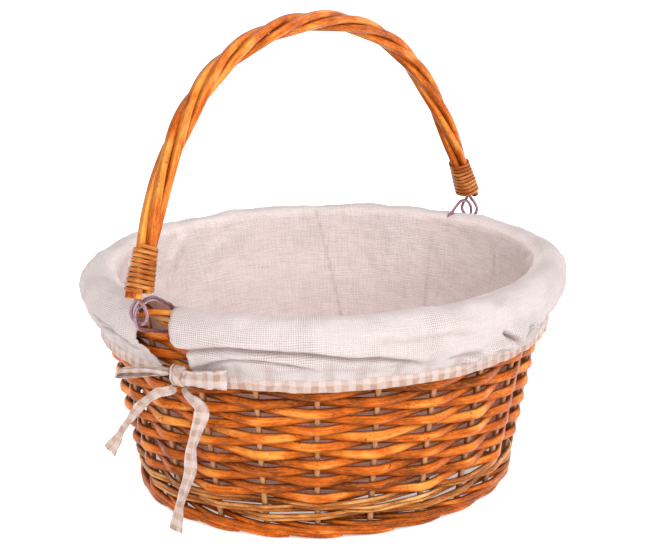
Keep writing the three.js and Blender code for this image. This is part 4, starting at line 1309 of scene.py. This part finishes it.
class BASKET_OT_casings(bpy.types.Operator):
    """The gingham casing that draws each flap in"""

    bl_idname = "basket.casings"
    bl_label = "Casings"

    def execute(self, context):
        lining = context.scene.basket_lining
        height = lining.casing_height
        # each casing ends a little beside the knots, in millimetres
        beside, half_width = 5.35, wall_axes(height)[0]
        start, stop = (turn * math.pi / 2 + math.asin((KNOT[0] - turn * beside) * MM / half_width)
                       for turn in (-1, 1))
        for far, name in enumerate(("east", "west")):
            rng = np.random.default_rng(91 + far)
            theta = np.linspace(start, stop, 420)
            run = theta * CASING_ROUND
            drawn = 0.45 + 0.55 * ease(np.minimum(theta - start, stop - theta), 0, 0.2)
            crumpled = bump_curve(np.degrees(theta) - 6, 18)
            out = 9.75 * MM + (0.35 + 0.5 * crumpled) * MM * drift(rng, run, 0.012) * drawn
            z = height + 0.5 * MM * drift(rng, run, 0.05)
            tall = lining.casing_tall / 2 * drawn * (1 + 0.05 * drift(rng, run, 0.014))
            thick = 1.4 * MM * (1 + (0.2 + 0.3 * crumpled) * drift(rng, run, 0.007))
            rods = Rods(far)
            rods.add(wall_point(theta, out, z), outward(theta, height), thick, tall)
            rods.sweep(f"casing_{name}", gingham("beige_gingham"), "gingham", f"gingham_casing_{name}",
                       sides=20, fullness=2.8, bumps=0.1, bump_length=0.01)
        return {"FINISHED"}


# Folds over the knot: sideways place at the top and at the foot, half width and reach outwards
KNOT_FOLDS = [(-5.6, -4.2, 2.2, 4.4), (-2.4, -0.6, 2.5, 4.9), (1.6, 2.6, 2.4, 5.0), (5.2, 4.6, 2.0, 4.3)]
# The loops: side, length, height at the knot and at the tip, half width, half depth of the hollow,
# degrees that the hollow is turned outwards, stand-off, and depth of the creases
LOOPS = {
    "left_loop": (-1, 50, 2.0, -7.5, 3.6, 4.6, 60, 4.6, 0.75),
    "right_loop": (1, 40, 1.4, 6.5, 7.0, 3.6, 8, 5.4, 0.7),
}


class BASKET_OT_bows(bpy.types.Operator):
    """The knot and two loops of each bow"""

    bl_idname = "basket.bows"
    bl_label = "Bows"

    def execute(self, context):
        middle, _, out, _ = bow_frame()
        for far, end in enumerate(("near", "far")):
            rng = np.random.default_rng(101 + far)
            rods = Rods(far)
            t = np.linspace(0, 1, 60)
            core = bow_points((t - 0.5) * 13.5, 0.3 * np.sin(9 * t), 0.4 * np.cos(7 * t))
            size = np.sqrt(np.clip(1.06 - (2 * t - 1) ** 4, 0.05, 1)) * (1 + 0.1 * drift(rng, t, 0.2))
            rods.add(core, out, 3.9 * MM * size, 6.4 * MM * size)
            # folds of the tie that wrap the knot from its top round its front
            angle = np.radians(np.linspace(98, -98, 48))
            for top, low, half, proud in KNOT_FOLDS:
                sideways = np.linspace(top, low, 48) + 0.3 * np.sin(5 * angle)
                wrap = bow_points(sideways, proud * np.cos(angle), 7.1 * np.sin(angle))
                width = half * (0.75 + 0.25 * np.cos(angle)) * (1 + 0.1 * drift(rng, angle, 1.2))
                rods.add(wrap, wrap - middle, 0.85 * MM, width * MM)
            rods.sweep(f"{end}_knot", gingham("beige_gingham"), "gingham", f"{end}_tie_knot", sides=20,
                       bumps=0.3, bump_length=0.004)
            for name, shape in LOOPS.items():
                loop = bow_loop(f"{end}_{name}", shape, rng, far)
                finish_piece(loop, "basket", "gingham", f"{end}_tie_{name}")
        return {"FINISHED"}


def bow_loop(name, shape, rng, far):
    """A strip of gingham bent into a loop beside the knot."""
    side, reach, low, tip, half, hollow, turn, stand_off, creased = shape
    angle = TURN * np.arange(110) / 110
    along = (1 - np.cos(angle)) / 2
    bend = hollow * (0.35 + 0.65 * along) * np.sin(angle) + 0.5 * along * round_drift(rng, angle, 4)
    turn = math.radians(turn)
    ruffle = 0.7 * ease(along, 0.8, 1) * np.sin(7 * angle)
    line = bow_points(side * (7.2 + reach * along) + ruffle, stand_off + bend * math.cos(turn),
                      low + (tip - low) * along**1.4 + bend * math.sin(turn))
    _, _, out, above = bow_frame()
    lean = math.cos(turn) * above - math.sin(turn) * out
    width = half * (0.7 + 0.3 * along) * (1 + 0.1 * round_drift(rng, angle, 6))
    bunched = creased * (1.5 - along + 0.9 * ease(along, 0.9, 1))
    return band(name, line, lean, width, bunched, rng, far, closed=True)


class BASKET_PT_panel(bpy.types.Panel):
    """Lists the steps that dress the basket"""

    bl_idname = "BASKET_PT_panel"
    bl_label = "Lined wicker basket"
    bl_space_type = "VIEW_3D"
    bl_region_type = "UI"
    bl_category = "Basket"

    def draw(self, context):
        for step in STEPS:
            self.layout.operator(step.bl_idname)
        for group, place in GROUPS.items():
            self.layout.label(text=group.__doc__)
            for name in group.__annotations__:
                self.layout.prop(getattr(context.scene, place), name)


GROUPS = {
    BasketWall: "basket_wall",
    BasketHandle: "basket_handle",
    BasketLining: "basket_lining",
    BasketFinish: "basket_finish",
}
STEPS = [
    BASKET_OT_stage, BASKET_OT_tails, BASKET_OT_weavers, BASKET_OT_waling, BASKET_OT_borders,
    BASKET_OT_stakes, BASKET_OT_bottom, BASKET_OT_handle_rods, BASKET_OT_bindings, BASKET_OT_wires,
    BASKET_OT_lining, BASKET_OT_casings, BASKET_OT_bows,
]


def register():
    for group, name in GROUPS.items():
        bpy.utils.register_class(group)
        setattr(bpy.types.Scene, name, bpy.props.PointerProperty(type=group))
    for step in STEPS:
        bpy.utils.register_class(step)
    bpy.utils.register_class(BASKET_PT_panel)


def unregister():
    bpy.utils.unregister_class(BASKET_PT_panel)
    for step in reversed(STEPS):
        bpy.utils.unregister_class(step)
    for group, name in GROUPS.items():
        delattr(bpy.types.Scene, name)
        bpy.utils.unregister_class(group)


def main():
    register()
    for step in STEPS:
        family, action = step.bl_idname.split(".")
        getattr(getattr(bpy.ops, family), action)()


if __name__ == "__main__":
    main()
